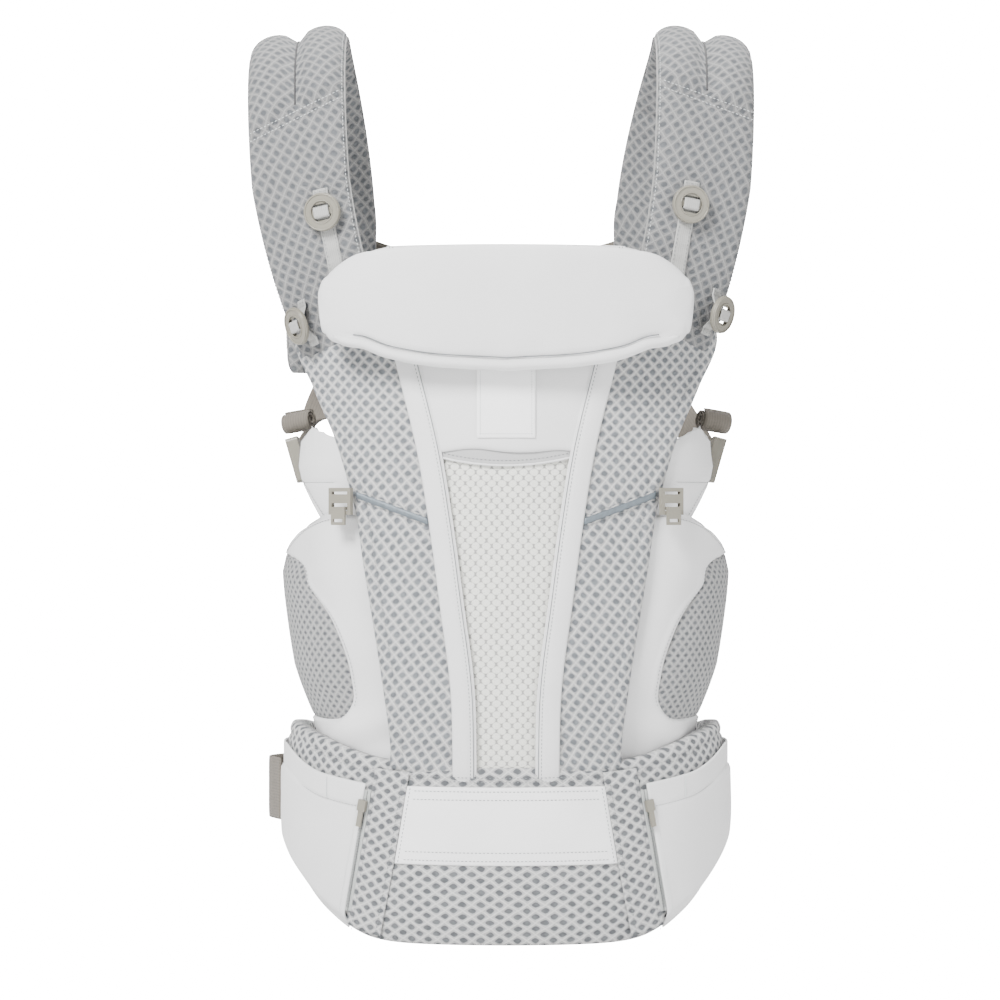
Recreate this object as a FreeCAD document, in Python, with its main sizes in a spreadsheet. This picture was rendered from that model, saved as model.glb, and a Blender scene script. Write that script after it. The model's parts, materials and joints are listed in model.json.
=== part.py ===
"""Soft baby carrier in its worn shape: a waist belt, a front panel with side wings, two padded
shoulder straps, a fold-down head support, and the buckles, buttons and webbing that join them.

Millimetres. +Z is up, the panel faces -Y and the wearer stands at the origin, whose height is the
belt's lowest edge. Left is -X.
"""
import FreeCAD, Part
import math
import os
import Sketcher
from FreeCAD import Placement, Rotation, Vector

SIZES = {
    # waist belt, an oval in plan
    "waist_half_width": 169, "waist_half_depth": 118, "belt_foam": 15, "belt_end_angle": 138,
    "belt_front_height": 137, "belt_side_bottom": 68, "belt_side_top": 168, "belt_end_bottom": 82,
    "belt_end_top": 140, "cover_ply": 2, "foam_gap": 0.5, "ply_gap": 0.2,
    # front panel
    "panel_top": 548, "panel_radius": 250, "seat_bulge": 21, "panel_lean": 10, "mesh_ply": 6,
    "fine_mesh_ply": 2.6, "pocket_ply": 1.4, "trim_ply": 2, "trim_width": 17,
    "pocket_bottom": 383, "label_width": 44, "label_height": 53, "label_bottom": 396,
    "piping_height": 5,
    # head support
    "pillow_half_width": 146, "pillow_top": 545, "pillow_drop": 99, "pillow_thickness": 25,
    "pillow_radius": 500,
    # shoulder straps
    "strap_width": 80, "strap_thickness": 18, "strap_foot": 462, "shoulder_centre": 598,
    "shoulder_rise": 121, "strap_half_depth": 101, "strap_end": 455, "strap_roll": 11,
    "strap_yaw": 30, "left_strap_foot": 124, "left_strap_top": 168, "left_strap_end": 150,
    "right_strap_foot": 121, "right_strap_top": 160, "right_strap_end": 132,
    # side wings
    "wing_ply": 5, "wing_top": 405, "wing_half_width": 166,
    "leg_ply": 9, "leg_half_width": 178, "leg_bottom": 130, "leg_top": 335,
    # buttons and tapes
    "button_radius": 15, "button_thickness": 3.6, "button_aperture": 13, "button_bar": 5,
    "button_standoff": 7, "tape_width": 12, "tape_ply": 1.2,
    # webbing
    "waist_web": 50, "side_web": 25, "chest_web": 20, "web_ply": 2,
    "chest_height": 562, "chest_sag": 14,
    # release buckles
    "buckle_wall": 2.5, "buckle_thickness": 10, "buckle_margin": 12, "buckle_clearance": 0.4,
    "buckle_bar": 4, "buckle_slot": 4,
    # wing clips
    "clip_width": 21, "clip_height": 21, "clip_thickness": 3.6, "clip_bar": 3,
    # webbing rolls and zips
    "roll_radius": 10, "zip_ply": 1.6, "zip_top": 108, "zip_bottom": 26,
}

doc = FreeCAD.newDocument("baby_carrier")
sheet = doc.addObject("Spreadsheet::Sheet", "Sizes")
for row, (alias, value) in enumerate(SIZES.items(), start=1):
    sheet.set(f"A{row}", alias)
    sheet.set(f"B{row}", str(value))
    sheet.setAlias(f"B{row}", alias)
doc.recompute()

LEFT, RIGHT = -1, 1
SIDES = {"left": LEFT, "right": RIGHT}
nodes = []


def size(name):
    """A driving dimension, read from the sheet."""
    return float(sheet.get(name))


# ---------------------------------------------------------------- soft pieces: shared geometry


def add_soft(label, shape):
    """A free-form cloth or foam piece, whose shape no sketch feature makes."""
    feature = doc.addObject("Part::Feature", label)
    feature.Label = label
    feature.Shape = shape
    nodes.append(feature)
    return feature


def mirrored(shape, side):
    """Pieces are drawn on the left; the right one is the mirror image."""
    return shape if side == LEFT else shape.mirror(Vector(0, 0, 0), Vector(1, 0, 0))


def curve(points):
    """A line through two points, or a smooth curve through more."""
    if len(points) == 2:
        return Part.LineSegment(*points).toShape()
    spline = Part.BSplineCurve()
    spline.interpolate(points)
    return spline.toShape()


def prism(runs, to_point, reach):
    """The outline made of these runs of points, extruded by the vector reach."""
    wire = Part.Wire([curve([to_point(*p) for p in run]) for run in runs])
    return Part.Face(wire).extrude(reach)


def front_prism(runs):
    """An outline in X and Z, extruded through the front half of the carrier."""
    return prism(runs, lambda x, z: Vector(x, -260, z), Vector(0, 260, 0))


def side_prism(runs):
    """An outline in Y and Z, extruded across the whole width."""
    return prism(runs, lambda y, z: Vector(-260, y, z), Vector(520, 0, 0))


def closed(*corners):
    """Straight runs through these corners and back to the first."""
    return [[a, b] for a, b in zip(corners, corners[1:] + corners[:1])]


def oval_band(offset, thickness, end_angle, low, high):
    """A band along the waist oval, centred offset outside its mid-line, open at the back."""
    def edge(grow, backwards=False):
        a = size("waist_half_width") + grow
        b = size("waist_half_depth") + grow
        steps = 14
        angles = [math.radians(end_angle) * (2 * k / steps - 1) for k in range(steps + 1)]
        points = [Vector(a * math.sin(t), -b * math.cos(t), low) for t in angles]
        return points[::-1] if backwards else points
    inner = edge(offset - thickness / 2)
    outer = edge(offset + thickness / 2, backwards=True)
    wire = Part.Wire([curve(inner), curve([inner[-1], outer[0]]), curve(outer),
                      curve([outer[-1], inner[0]])])
    return Part.Face(wire).extrude(Vector(0, 0, high - low))


def belt_outline(inset):
    """The belt's shape seen from the side: deep in front, rising and tapering to its ends."""
    front = -size("waist_half_depth") - 20
    back = size("waist_half_depth")
    bottom = [(front, inset), (-100, 4 + inset), (-75, 22 + inset),
              (-42, 47 + inset), (0, size("belt_side_bottom") + inset),
              (50, size("belt_end_bottom") - 6 + inset), (back, size("belt_end_bottom") + inset)]
    top = [(back, size("belt_end_top") - inset), (50, size("belt_side_top") - 7 - inset),
           (0, size("belt_side_top") - inset), (-42, size("belt_side_top") - 4 - inset),
           (-75, size("belt_side_top") - 12 - inset), (-100, size("belt_front_height") + 9 - inset),
           (front, size("belt_front_height") - inset)]
    return side_prism([bottom, [bottom[-1], top[0]], top, [top[-1], bottom[0]]])


def belt_solid(thickness, inset, end_angle):
    """The padded belt, or its foam, at a given thickness and edge inset."""
    band = oval_band(0, thickness, end_angle, -20, 220)
    return band.common(belt_outline(inset))


def belt_skin(offset, thickness, outline, end_angle):
    """A cloth lying on the belt's outer face, cut to an outline and to the belt's edges."""
    total = size("belt_foam") / 2 + size("foam_gap") + size("cover_ply")
    band = oval_band(total + size("ply_gap") + offset + thickness / 2, thickness, end_angle, -20, 220)
    return band.common(belt_outline(0)).common(outline)


def zip_edge(z, shift=0.0):
    """Half width of a pocket's zip at height z, moved outwards by shift."""
    share = (size("zip_top") - z) / (size("zip_top") - size("zip_bottom"))
    return 111 + 14 * share + shift


def panel_line(z):
    """How far forward (as Y) the panel's inner face lies on the centre line at height z."""
    low, high = size("belt_front_height") - 7, size("panel_top") + 12
    u = min(1.0, max(0.0, (z - low) / (high - low)))
    bulge = size("seat_bulge") * math.sin(math.pi * u) ** 0.7
    return -size("waist_half_depth") + 2 - size("panel_lean") * u - bulge


def sag(x, radius):
    """How far a front arc of that radius has fallen back at x from the centre line."""
    return radius - math.sqrt(radius * radius - x * x)


def front_ply(offset, thickness, radius):
    """A ply that follows the panel, its inner face that far in front of the panel's."""
    half = 0.7 * size("panel_radius")
    heights = [110, 140, 165, 200, 260, 340, 430, 510, 580]

    def arc(y, z):
        ends = y + sag(half, radius)
        return Part.Arc(Vector(-half, ends, z), Vector(0, y, z), Vector(half, ends, z)).toShape()

    sections = []
    for z in heights:
        inner = arc(panel_line(z) - offset, z)
        outer = arc(panel_line(z) - offset - thickness, z)
        sides = [Part.LineSegment(inner.Vertexes[k].Point, outer.Vertexes[k].Point).toShape()
                 for k in (0, 1)]
        sections.append(Part.Wire(Part.__sortEdges__([inner, sides[1], outer, sides[0]])))
    return Part.makeLoft(sections, True, False)


TRIM_LINE = [(33, 120), (33, 150), (34, 195), (43, 270), (51, 330), (60, 385), (77, 455), (88, 500),
             (96, 544)]
GORE_EDGE = [(91, 128), (91, 157), (95, 192), (102, 239), (112, 301), (118, 340), (124, 363),
             (134, 395), (152, 436), (168, 480)]


def left_run(line, shift=0.0, backwards=False):
    """A line of (half width, height) points on the left side, shifted outwards."""
    run = [(-(x + shift), z) for x, z in line]
    return run[::-1] if backwards else run


def strap_station(s, side):
    """Mid-point, inward width direction, outward normal and course of a strap, for s from 0 (its
    foot on the panel) over the shoulder (0.5) to 1 (its end under the arm)."""
    foot, centre, end = size("strap_foot"), size("shoulder_centre"), size("strap_end")
    depth, rise = size("strap_half_depth"), size("shoulder_rise")
    hand = "left" if side == LEFT else "right"
    foot_x, top_x, end_x = (size(f"{hand}_strap_{place}") for place in ("foot", "top", "end"))
    front_share, back_share = 0.28, 0.68

    def point(v):
        if v < front_share:
            y, z = -depth, foot + v / front_share * (centre - foot)
        elif v < back_share:
            turn = math.pi * (v - front_share) / (back_share - front_share)
            y, z = -depth * math.cos(turn), centre + rise * math.sin(turn)
        else:
            y, z = depth, centre + (v - back_share) / (1 - back_share) * (end - centre)
        climb = min(1.0, v / 0.45)
        x = foot_x + (top_x - foot_x) * climb * (2 - climb)
        if v > 0.5:
            fall = min(1.0, (v - 0.5) / 0.22)
            x = top_x + (end_x - top_x) * fall * fall * (3 - 2 * fall)
        return Vector(side * x, y, z)

    course = point(min(1.0, s + 0.01)) - point(max(0.0, s - 0.01))
    course.normalize()
    yaw = math.radians(size("strap_yaw") * (1 - 2 * s))
    roll = math.radians(size("strap_roll") * min(1.0, 2 - 2 * s))
    inward = Vector(-side * math.cos(yaw) * math.cos(roll), -math.sin(yaw), math.sin(roll))
    inward = inward - course * inward.dot(course)
    inward.normalize()
    outward = inward.cross(course) * -side
    return point(s), inward, outward, course


def strap_loft(side, width, thickness, start=0.0, end=1.0):
    """A strap at that width and thickness, thinner where it is sewn to the panel."""
    sections = []
    steps = 16
    for k in range(steps + 1):
        s = start + (end - start) * k / steps
        middle, inward, outward, _ = strap_station(s, side)
        half_w = inward * (width / 2)
        half_t = outward * (thickness / 2 * (0.7 + 0.3 * min(1.0, s / 0.15)))
        corners = [middle - half_w - half_t, middle + half_w - half_t,
                   middle + half_w + half_t, middle - half_w + half_t]
        sections.append(Part.makePolygon(corners + corners[:1]))
    return Part.makeLoft(sections, True, False)


def wing_band(inset, half_width, back, ply, heights, start=0.0, end=90.0):
    """A side wing: a quarter oval in plan from behind the panel's edge round to the side.
    heights holds (z, share of the half width) pairs."""
    sections = []
    for z, share in heights:
        x0 = inset * min(1.0, share)
        reach_x = half_width * share - x0
        front = panel_line(z) + 30
        reach_y = back - front
        steps = 8
        inner, outer = [], []
        for k in range(steps + 1):
            phi = math.radians(start + (end - start) * k / steps)
            middle = Vector(-(x0 + reach_x * math.sin(phi)), back - reach_y * math.cos(phi), z)
            normal = Vector(-reach_y * math.sin(phi), -reach_x * math.cos(phi), 0)
            normal.normalize()
            inner.append(middle - normal * (ply / 2))
            outer.append(middle + normal * (ply / 2))
        sections.append(Part.Wire([curve(inner), curve([inner[-1], outer[-1]]),
                                   curve(outer[::-1]), curve([outer[0], inner[0]])]))
    return Part.makeLoft(sections, True, False)


def ribbon(points, ply, width, place):
    """A flat tape: a line of (along, out) points given its ply, extruded by its width, centred
    across, then placed. Along is local Y and out is local Z."""
    flat = [Vector(0, y, z) for y, z in points]
    turns = [(b - a).normalize() for a, b in zip(flat, flat[1:])]
    sides = [Vector(0, -d.z, d.y) for d in turns]
    shifts = []
    for before, after in zip(sides[:1] + sides, sides + sides[-1:]):
        mitre = before + after
        shifts.append(mitre * (ply / 2 / mitre.dot(before)))
    upper = [p + s for p, s in zip(flat, shifts)]
    lower = [p - s for p, s in zip(flat, shifts)]
    wire = Part.makePolygon(upper + lower[::-1] + upper[:1])
    shape = Part.Face(wire).extrude(Vector(width, 0, 0))
    shape.translate(Vector(-width / 2, 0, 0))
    shape.Placement = place.multiply(shape.Placement)
    return shape


def plan_band(points, ply, low, high):
    """A webbing that stands on edge: a smooth line in plan given its ply, from low to high."""
    inner, outer = [], []
    for k, (x, y) in enumerate(points):
        before = points[max(0, k - 1)]
        after = points[min(len(points) - 1, k + 1)]
        normal = Vector(before[1] - after[1], after[0] - before[0], 0)
        normal.normalize()
        inner.append(Vector(x, y, low) - normal * (ply / 2))
        outer.append(Vector(x, y, low) + normal * (ply / 2))
    wire = Part.Wire([curve(inner), curve([inner[-1], outer[-1]]), curve(outer[::-1]),
                      curve([outer[0], inner[0]])])
    return Part.Face(wire).extrude(Vector(0, 0, high - low))


def twisted_tape(start, start_across, end, end_across, width, ply):
    """A flat webbing from start to end that twists from one width direction to the other."""
    course = (end - start).normalize()
    sections = []
    steps = 6
    for k in range(steps + 1):
        share = k / steps
        across = start_across * (1 - share) + end_across * share
        across = (across - course * across.dot(course)).normalize()
        half_w = across * (width / 2)
        half_t = across.cross(course) * (ply / 2)
        middle = start + (end - start) * share
        corners = [middle - half_w - half_t, middle + half_w - half_t,
                   middle + half_w + half_t, middle - half_w + half_t]
        sections.append(Part.makePolygon(corners + corners[:1]))
    return Part.makeLoft(sections, True, True)


# ---------------------------------------------------------------- moulded pieces: sketch features


def new_body(label, placement=None):
    body = doc.addObject("PartDesign::Body", label)
    body.Label = label
    nodes.append(body)
    if placement:
        body.Placement = placement
    return body


def sketch_on(body, role="XY_Plane", at=("0", "0", "0")):
    """A sketch on one of the body's own planes, its origin moved by three expressions."""
    sketch = body.newObject("Sketcher::SketchObject", "Sketch")
    support = next(f for f in body.Origin.OriginFeatures if f.Role == role)
    sketch.AttachmentSupport = (support, [""])
    sketch.MapMode = "FlatFace"
    for axis, text in zip("xyz", at):
        sketch.setExpression(f".AttachmentOffset.Base.{axis}", text)
    return sketch


def draw_rectangle(sketch, width, height):
    """A rectangle centred on the sketch's origin. width and height are expressions."""
    first = sketch.GeometryCount
    corners = [Vector(-9, -7, 0), Vector(9, -7, 0), Vector(9, 7, 0), Vector(-9, 7, 0)]
    rule = Sketcher.Constraint
    for k in range(4):
        sketch.addGeometry(Part.LineSegment(corners[k], corners[(k + 1) % 4]), False)
    for k in range(4):
        sketch.addConstraint(rule("Coincident", first + k, 2, first + (k + 1) % 4, 1))
    for k, direction in enumerate(("Horizontal", "Vertical", "Horizontal", "Vertical")):
        sketch.addConstraint(rule(direction, first + k))
    sketch.addConstraint(rule("Symmetric", first, 1, first + 2, 1, -1, 1))
    wide = sketch.addConstraint(rule("DistanceX", first, 1, first, 2, 18))
    tall = sketch.addConstraint(rule("DistanceY", first + 1, 1, first + 1, 2, 14))
    sketch.setExpression(f"Constraints[{wide}]", width)
    sketch.setExpression(f"Constraints[{tall}]", height)
    return sketch


def draw_circle(sketch, radius):
    """A circle on the sketch's origin. radius is an expression."""
    index = sketch.addGeometry(Part.Circle(Vector(0, 0, 0), Vector(0, 0, 1), 5), False)
    sketch.addConstraint(Sketcher.Constraint("Coincident", index, 3, -1, 1))
    rule = sketch.addConstraint(Sketcher.Constraint("Radius", index, 5))
    sketch.setExpression(f"Constraints[{rule}]", radius)
    return sketch


def pad(body, sketch, length):
    feature = body.newObject("PartDesign::Pad", "Pad")
    feature.Profile = sketch
    feature.setExpression("Length", length)
    feature.SideType = "Symmetric"
    return feature


def cut(body, sketch, length):
    """A pocket that cuts to both sides of its sketch, length in all."""
    feature = body.newObject("PartDesign::Pocket", "Pocket")
    feature.Profile = sketch
    feature.setExpression("Length", length)
    feature.SideType = "Symmetric"
    return feature


def round_edges(body, base, radius, chosen):
    """Fillets the edges of the base feature that pass the test chosen."""
    doc.recompute()
    names = [f"Edge{k}" for k, edge in enumerate(base.Shape.Edges, start=1) if chosen(edge)]
    feature = body.newObject("PartDesign::Fillet", "Fillet")
    feature.Base = (base, names)
    feature.setExpression("Radius", radius)
    return feature


def along_local(axis):
    """A test for straight edges that run along a local axis."""
    def test(edge):
        if edge.Curve.TypeId != "Part::GeomLine":
            return False
        return abs(abs(edge.Curve.Direction.dot(axis)) - 1) < 1e-6
    return test


class Buckle:
    """The sizes of a release buckle for one webbing, as expressions. Local X is the pull
    direction, Y the width and Z the thickness; the housing's mouth is at X = 0."""

    def __init__(self, web):
        self.web = f"Sizes.{web}"
        self.width = f"({self.web} + Sizes.buckle_margin)"
        self.length = f"({self.web} * 0.5 + 18)"
        self.cavity_width = f"({self.width} - 2 * Sizes.buckle_wall)"
        self.cavity_height = "(Sizes.buckle_thickness - 2 * Sizes.buckle_wall)"
        self.cavity_depth = f"({self.web} * 0.5 + 6)"
        self.tongue = f"({self.cavity_depth} - 3)"
        self.key = f"({self.cavity_height} - 2 * Sizes.buckle_clearance)"


def make_housing(label, web, placement):
    """The socket half: a flat box with a mouth, side windows and a webbing slot."""
    fit = Buckle(web)
    body = new_body(label, placement)
    block = pad(body, draw_rectangle(sketch_on(body, at=(f"-{fit.length} / 2", "0", "0")),
                                     fit.length, fit.width), "Sizes.buckle_thickness")
    round_edges(body, block, "Sizes.buckle_thickness * 0.3", along_local(Vector(0, 0, 1)))
    mouth = draw_rectangle(sketch_on(body, "YZ_Plane"), fit.cavity_width, fit.cavity_height)
    cut(body, mouth, f"2 * {fit.cavity_depth}")
    window = sketch_on(body, "XZ_Plane", (f"-{fit.cavity_depth} * 0.55", "0", "0"))
    cut(body, draw_rectangle(window, f"{fit.cavity_depth} * 0.45", fit.cavity_height),
        f"{fit.width} + 4")
    slot = sketch_on(body, at=(f"-{fit.length} + Sizes.buckle_bar + Sizes.buckle_slot / 2",
                               "0", "0"))
    cut(body, draw_rectangle(slot, "Sizes.buckle_slot", f"{fit.web} + 2"),
        "Sizes.buckle_thickness + 4")
    return body


def make_plug(label, web, placement, with_prongs):
    """The plug half: a shoulder outside the mouth with a webbing slot, a centre tongue and,
    when they are not separate pieces, two side prongs."""
    fit = Buckle(web)
    body = new_body(label, placement)
    shoulder = "(Sizes.buckle_bar * 3 + Sizes.buckle_slot * 2)"
    start = sketch_on(body, at=(f"Sizes.buckle_clearance + {shoulder} / 2", "0", "0"))
    block = pad(body, draw_rectangle(start, shoulder, fit.width), "Sizes.buckle_thickness * 0.8")
    round_edges(body, block, "Sizes.buckle_thickness * 0.25", along_local(Vector(0, 0, 1)))
    for count in (1, 2):
        place = (f"Sizes.buckle_clearance + Sizes.buckle_bar * {count} + "
                 f"Sizes.buckle_slot * ({count} - 0.5)")
        cut(body, draw_rectangle(sketch_on(body, at=(place, "0", "0")), "Sizes.buckle_slot",
                                 f"{fit.web} + 2"), "Sizes.buckle_thickness + 4")
    centre = sketch_on(body, at=(f"1 - {fit.tongue} / 2", "0", "0"))
    pad(body, draw_rectangle(centre, f"{fit.tongue} + 2", f"{fit.web} * 0.22"), fit.key)
    if with_prongs:
        for sign in ("-", ""):
            beside = sketch_on(body, at=(f"1 - {fit.tongue} / 2",
                                         f"{sign}({fit.cavity_width} / 2 - 3)", "0"))
            pad(body, draw_rectangle(beside, f"{fit.tongue} + 2", "4.4"), fit.key)
    return body


def make_prong(label, web, placement, sign):
    """One spring prong of the large plug, in the window side of the housing's cavity."""
    fit = Buckle(web)
    body = new_body(label, placement)
    beside = f"{sign}({fit.cavity_width} / 2 - 3.4)"
    arm = sketch_on(body, at=(f"-{fit.tongue} / 2 - Sizes.buckle_clearance", beside, "0"))
    block = pad(body, draw_rectangle(arm, f"{fit.tongue} - 2", "5"), fit.key)
    round_edges(body, block, "1.5", along_local(Vector(0, 0, 1)))
    return body


def make_button(label, placement):
    """A round button with a dished face and two slots either side of a bar."""
    body = new_body(label, placement)
    disc = pad(body, draw_circle(sketch_on(body), "Sizes.button_radius"),
               "Sizes.button_thickness")
    round_edges(body, disc, "Sizes.button_thickness * 0.35",
                lambda edge: edge.Curve.TypeId == "Part::GeomCircle")
    dish = sketch_on(body, at=("0", "0", "Sizes.button_thickness / 2"))
    cut(body, draw_circle(dish, "Sizes.button_radius * 0.57"), "1.6")
    slot = "((Sizes.button_aperture - Sizes.button_bar) / 2)"
    for sign in ("-", ""):
        place = f"{sign}(Sizes.button_bar + {slot}) / 2"
        cut(body, draw_rectangle(sketch_on(body, at=("0", place, "0")),
                                 "Sizes.tape_width + 2.4", slot), "Sizes.button_thickness + 4")
    return body


def make_clip_frame(label, placement):
    """A plate that hangs in a cloth tab on the wing, with a window above its lower bar."""
    body = new_body(label, placement)
    pad(body, draw_rectangle(sketch_on(body), "Sizes.clip_width", "Sizes.clip_height"),
        "Sizes.clip_thickness")
    window = sketch_on(body, at=("0", "-Sizes.clip_height * 0.5 + Sizes.clip_bar + 3", "0"))
    cut(body, draw_rectangle(window, "Sizes.clip_width - 2 * Sizes.clip_bar", "6"),
        "Sizes.clip_thickness + 4")
    top = sketch_on(body, at=("0", "Sizes.clip_height * 0.5 - Sizes.clip_bar - 1", "0"))
    cut(body, draw_rectangle(top, "Sizes.clip_width - 2 * Sizes.clip_bar", "2"),
        "Sizes.clip_thickness + 4")
    return body


def make_clip_hook(label, placement):
    """A hook that drops over the plate's lower bar, with a slot for the leg wing's tab. Local
    Y = 0 is the bar's axis."""
    body = new_body(label, placement)
    gap = "(Sizes.clip_thickness / 2 + Sizes.buckle_clearance)"
    width = "(Sizes.clip_width - 2 * Sizes.clip_bar - 2)"
    plate = sketch_on(body, at=("0", "-2.5", f"{gap} + 1"))
    pad(body, draw_rectangle(plate, width, "14"), "2")
    neck = sketch_on(body, at=("0", "Sizes.clip_bar / 2 + 2", f"({gap} + 2) / 2 - {gap} / 2"))
    pad(body, draw_rectangle(neck, width, "2.4"), f"2 + 2 * {gap}")
    slot = sketch_on(body, at=("0", "-6", f"{gap} + 1"))
    cut(body, draw_rectangle(slot, f"{width} - 4", "2.4"), "6")
    return body


def make_zip_slider(label, placement):
    """A zip slider with a hanging pull. Local Y runs up the zip and Z out of it."""
    body = new_body(label, placement)
    pad(body, draw_rectangle(sketch_on(body, at=("0", "0", "3")), "7", "9"), "3")
    pad(body, draw_rectangle(sketch_on(body, at=("0", "-9", "3.6")), "4.4", "16"), "1.4")
    return body


def make_chest_sliders(label, placements):
    """The chest strap's two sliders, which run up and down the shoulder straps together."""
    plates = []
    for place in placements:
        body = doc.addObject("PartDesign::Body", label + "_plate")
        body.Placement = place
        pad(body, draw_rectangle(sketch_on(body), "Sizes.chest_web + 4", "Sizes.chest_web + 10"),
            "4")
        for sign in ("-", ""):
            slot = sketch_on(body, at=(f"{sign}6", "0", "0"))
            cut(body, draw_rectangle(slot, "3.4", "Sizes.chest_web + 2"), "8")
        plates.append(body)
    pair = doc.addObject("Part::Compound", label)
    pair.Label = label
    pair.Links = plates
    nodes.append(pair)


def facing(origin, right, up):
    """A placement whose local X is right, local Y is close to up and local Z is their normal."""
    out = right.cross(up)
    return Placement(origin, Rotation(right, up, out, "ZXY"))


# ---------------------------------------------------------------- the carrier's own pieces


def make_belt():
    cover = size("belt_foam") + 2 * (size("cover_ply") + size("foam_gap"))
    end = size("belt_end_angle")
    outer = belt_solid(cover, 0, end)
    rim = size("cover_ply") + size("foam_gap")
    hollow = belt_solid(cover - 2 * size("cover_ply"), size("cover_ply"), end - 1)
    add_soft("belt_cover", outer.cut(hollow))
    add_soft("belt_foam", belt_solid(size("belt_foam"), rim, end - 1.2))
    strip_top, strip_bottom = size("belt_front_height") - 13, size("belt_front_height") - 73
    strip = front_prism(closed((-87, strip_bottom), (87, strip_bottom), (77, strip_top),
                               (-77, strip_top)))
    add_soft("hook_strip", belt_skin(0, size("pocket_ply"), strip, 80))
    bands = [belt_skin(0, 1.2, mirrored(front_prism(closed(
        (-99, 6), (-88.2, strip_bottom), (-78.2, strip_top), (-75, 143), (-zip_edge(143, -4), 143),
        (-zip_edge(19, -4), 19))), side), 80) for side in SIDES.values()]
    add_soft("belt_bands", Part.makeCompound([b for band in bands for b in band.Solids]))
    return outer


def make_pockets():
    """A flat pocket on each side of the belt, closed by a zip along its front edge."""
    total = size("belt_foam") / 2 + size("foam_gap") + size("cover_ply") + size("ply_gap")
    a, b = size("waist_half_width") + total, size("waist_half_depth") + total
    zips = []
    for name, side in SIDES.items():
        cloth = prism(closed((-zip_edge(0, 2), 0), (-zip_edge(124, 2), 124), (-135, 131),
                             (-186, 152), (-230, 152), (-230, 0)),
                      lambda x, z: Vector(x, -200, z), Vector(0, 225, 0))
        add_soft(f"pocket_{name}", belt_skin(0, 2.4, mirrored(cloth, side), 110))
        high, low = size("zip_top"), size("zip_bottom")
        tape = front_prism(closed((-zip_edge(low, 1.6), low), (-zip_edge(low, -3), low),
                                  (-zip_edge(124, -3), 124), (-zip_edge(124, 1.6), 124)))
        zips.append(belt_skin(0, size("zip_ply"), mirrored(tape, side), 110))
        ends = [Vector(side * zip_edge(z), 0, z) for z in (high, low)]
        for point in ends:
            point.y = -b * math.sqrt(1 - (point.x / a) ** 2)
        up = (ends[0] - ends[1]).normalize()
        normal = Vector(ends[0].x / a ** 2, ends[0].y / b ** 2, 0).normalize()
        right = up.cross(normal).normalize()
        top = ends[0] + normal * 1.2
        make_zip_slider(f"zip_slider_{name}", facing(top, right, up))
    add_soft("pocket_zips", Part.makeCompound([s for z in zips for s in z.Solids]))


def make_panel(belt, straps):
    """Centre mesh, gores, pocket and trims: plies that follow one curved front."""
    radius = size("panel_radius")
    gap = size("ply_gap")
    half_trim = size("trim_width") / 2
    gore_ply = front_ply(0, size("mesh_ply"), radius)
    gore_outline = front_prism([
        left_run(GORE_EDGE), [(-168, 480), (-118, 540)], [(-118, 540), (-96, 544)],
        left_run(TRIM_LINE, backwards=True), [(-33, 120), (-91, 128)]])
    for name, side in SIDES.items():
        gore = mirrored(gore_ply.common(gore_outline), side).cut(belt).cut(straps[side])
        add_soft(f"gore_{name}", gore)
    middle = [left_run(TRIM_LINE, -gap), [(-96 + gap, 544), (96 - gap, 544)],
              [(-x, z) for x, z in left_run(TRIM_LINE, -gap, backwards=True)],
              [(33 - gap, 120), (-33 + gap, 120)]]
    above = Part.makeBox(400, 260, 200, Vector(-200, -260, size("pocket_bottom")))
    centre = front_ply(0, size("fine_mesh_ply"), radius)
    add_soft("centre_panel", centre.common(front_prism(middle)).cut(belt))
    hood = Part.makeBox(84, 260, 76, Vector(-42, -260, size("pocket_bottom") + 12))
    offset = size("fine_mesh_ply") + gap
    add_soft("stowed_hood", front_ply(offset, 2.4, radius).common(hood))
    offset += 2.4 + gap
    pocket = front_ply(offset, size("pocket_ply"), radius).common(front_prism(middle))
    add_soft("hood_pocket", pocket.common(above))
    offset += size("pocket_ply") + gap
    label = Part.makeBox(size("label_width"), 260, size("label_height"),
                         Vector(-size("label_width") / 2, -260, size("label_bottom")))
    add_soft("label_patch", front_ply(offset, 0.8, radius).common(label))
    trims = []
    for side in SIDES.values():
        strip = front_prism([left_run(TRIM_LINE, half_trim),
                             [(-96 - half_trim, 544), (-96 + half_trim, 544)],
                             left_run(TRIM_LINE, -half_trim, backwards=True),
                             [(-33 + half_trim, 120), (-33 - half_trim, 120)]])
        trim = front_ply(offset, size("trim_ply"), radius).common(strip)
        trims += mirrored(trim.cut(belt), side).Solids
    add_soft("trim_strips", Part.makeCompound(trims))
    height = size("piping_height")
    pipes = []
    for side in SIDES.values():
        inner = 52.5 + half_trim
        line = front_prism(closed((-117, 352 - height / 2), (-117, 352 + height / 2),
                                  (-inner, 331 + height / 2), (-inner, 331 - height / 2)))
        pipe = front_ply(size("mesh_ply") + gap, 2, radius).common(line)
        pipes += mirrored(pipe, side).Solids
    add_soft("reflective_piping", Part.makeCompound(pipes))


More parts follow.
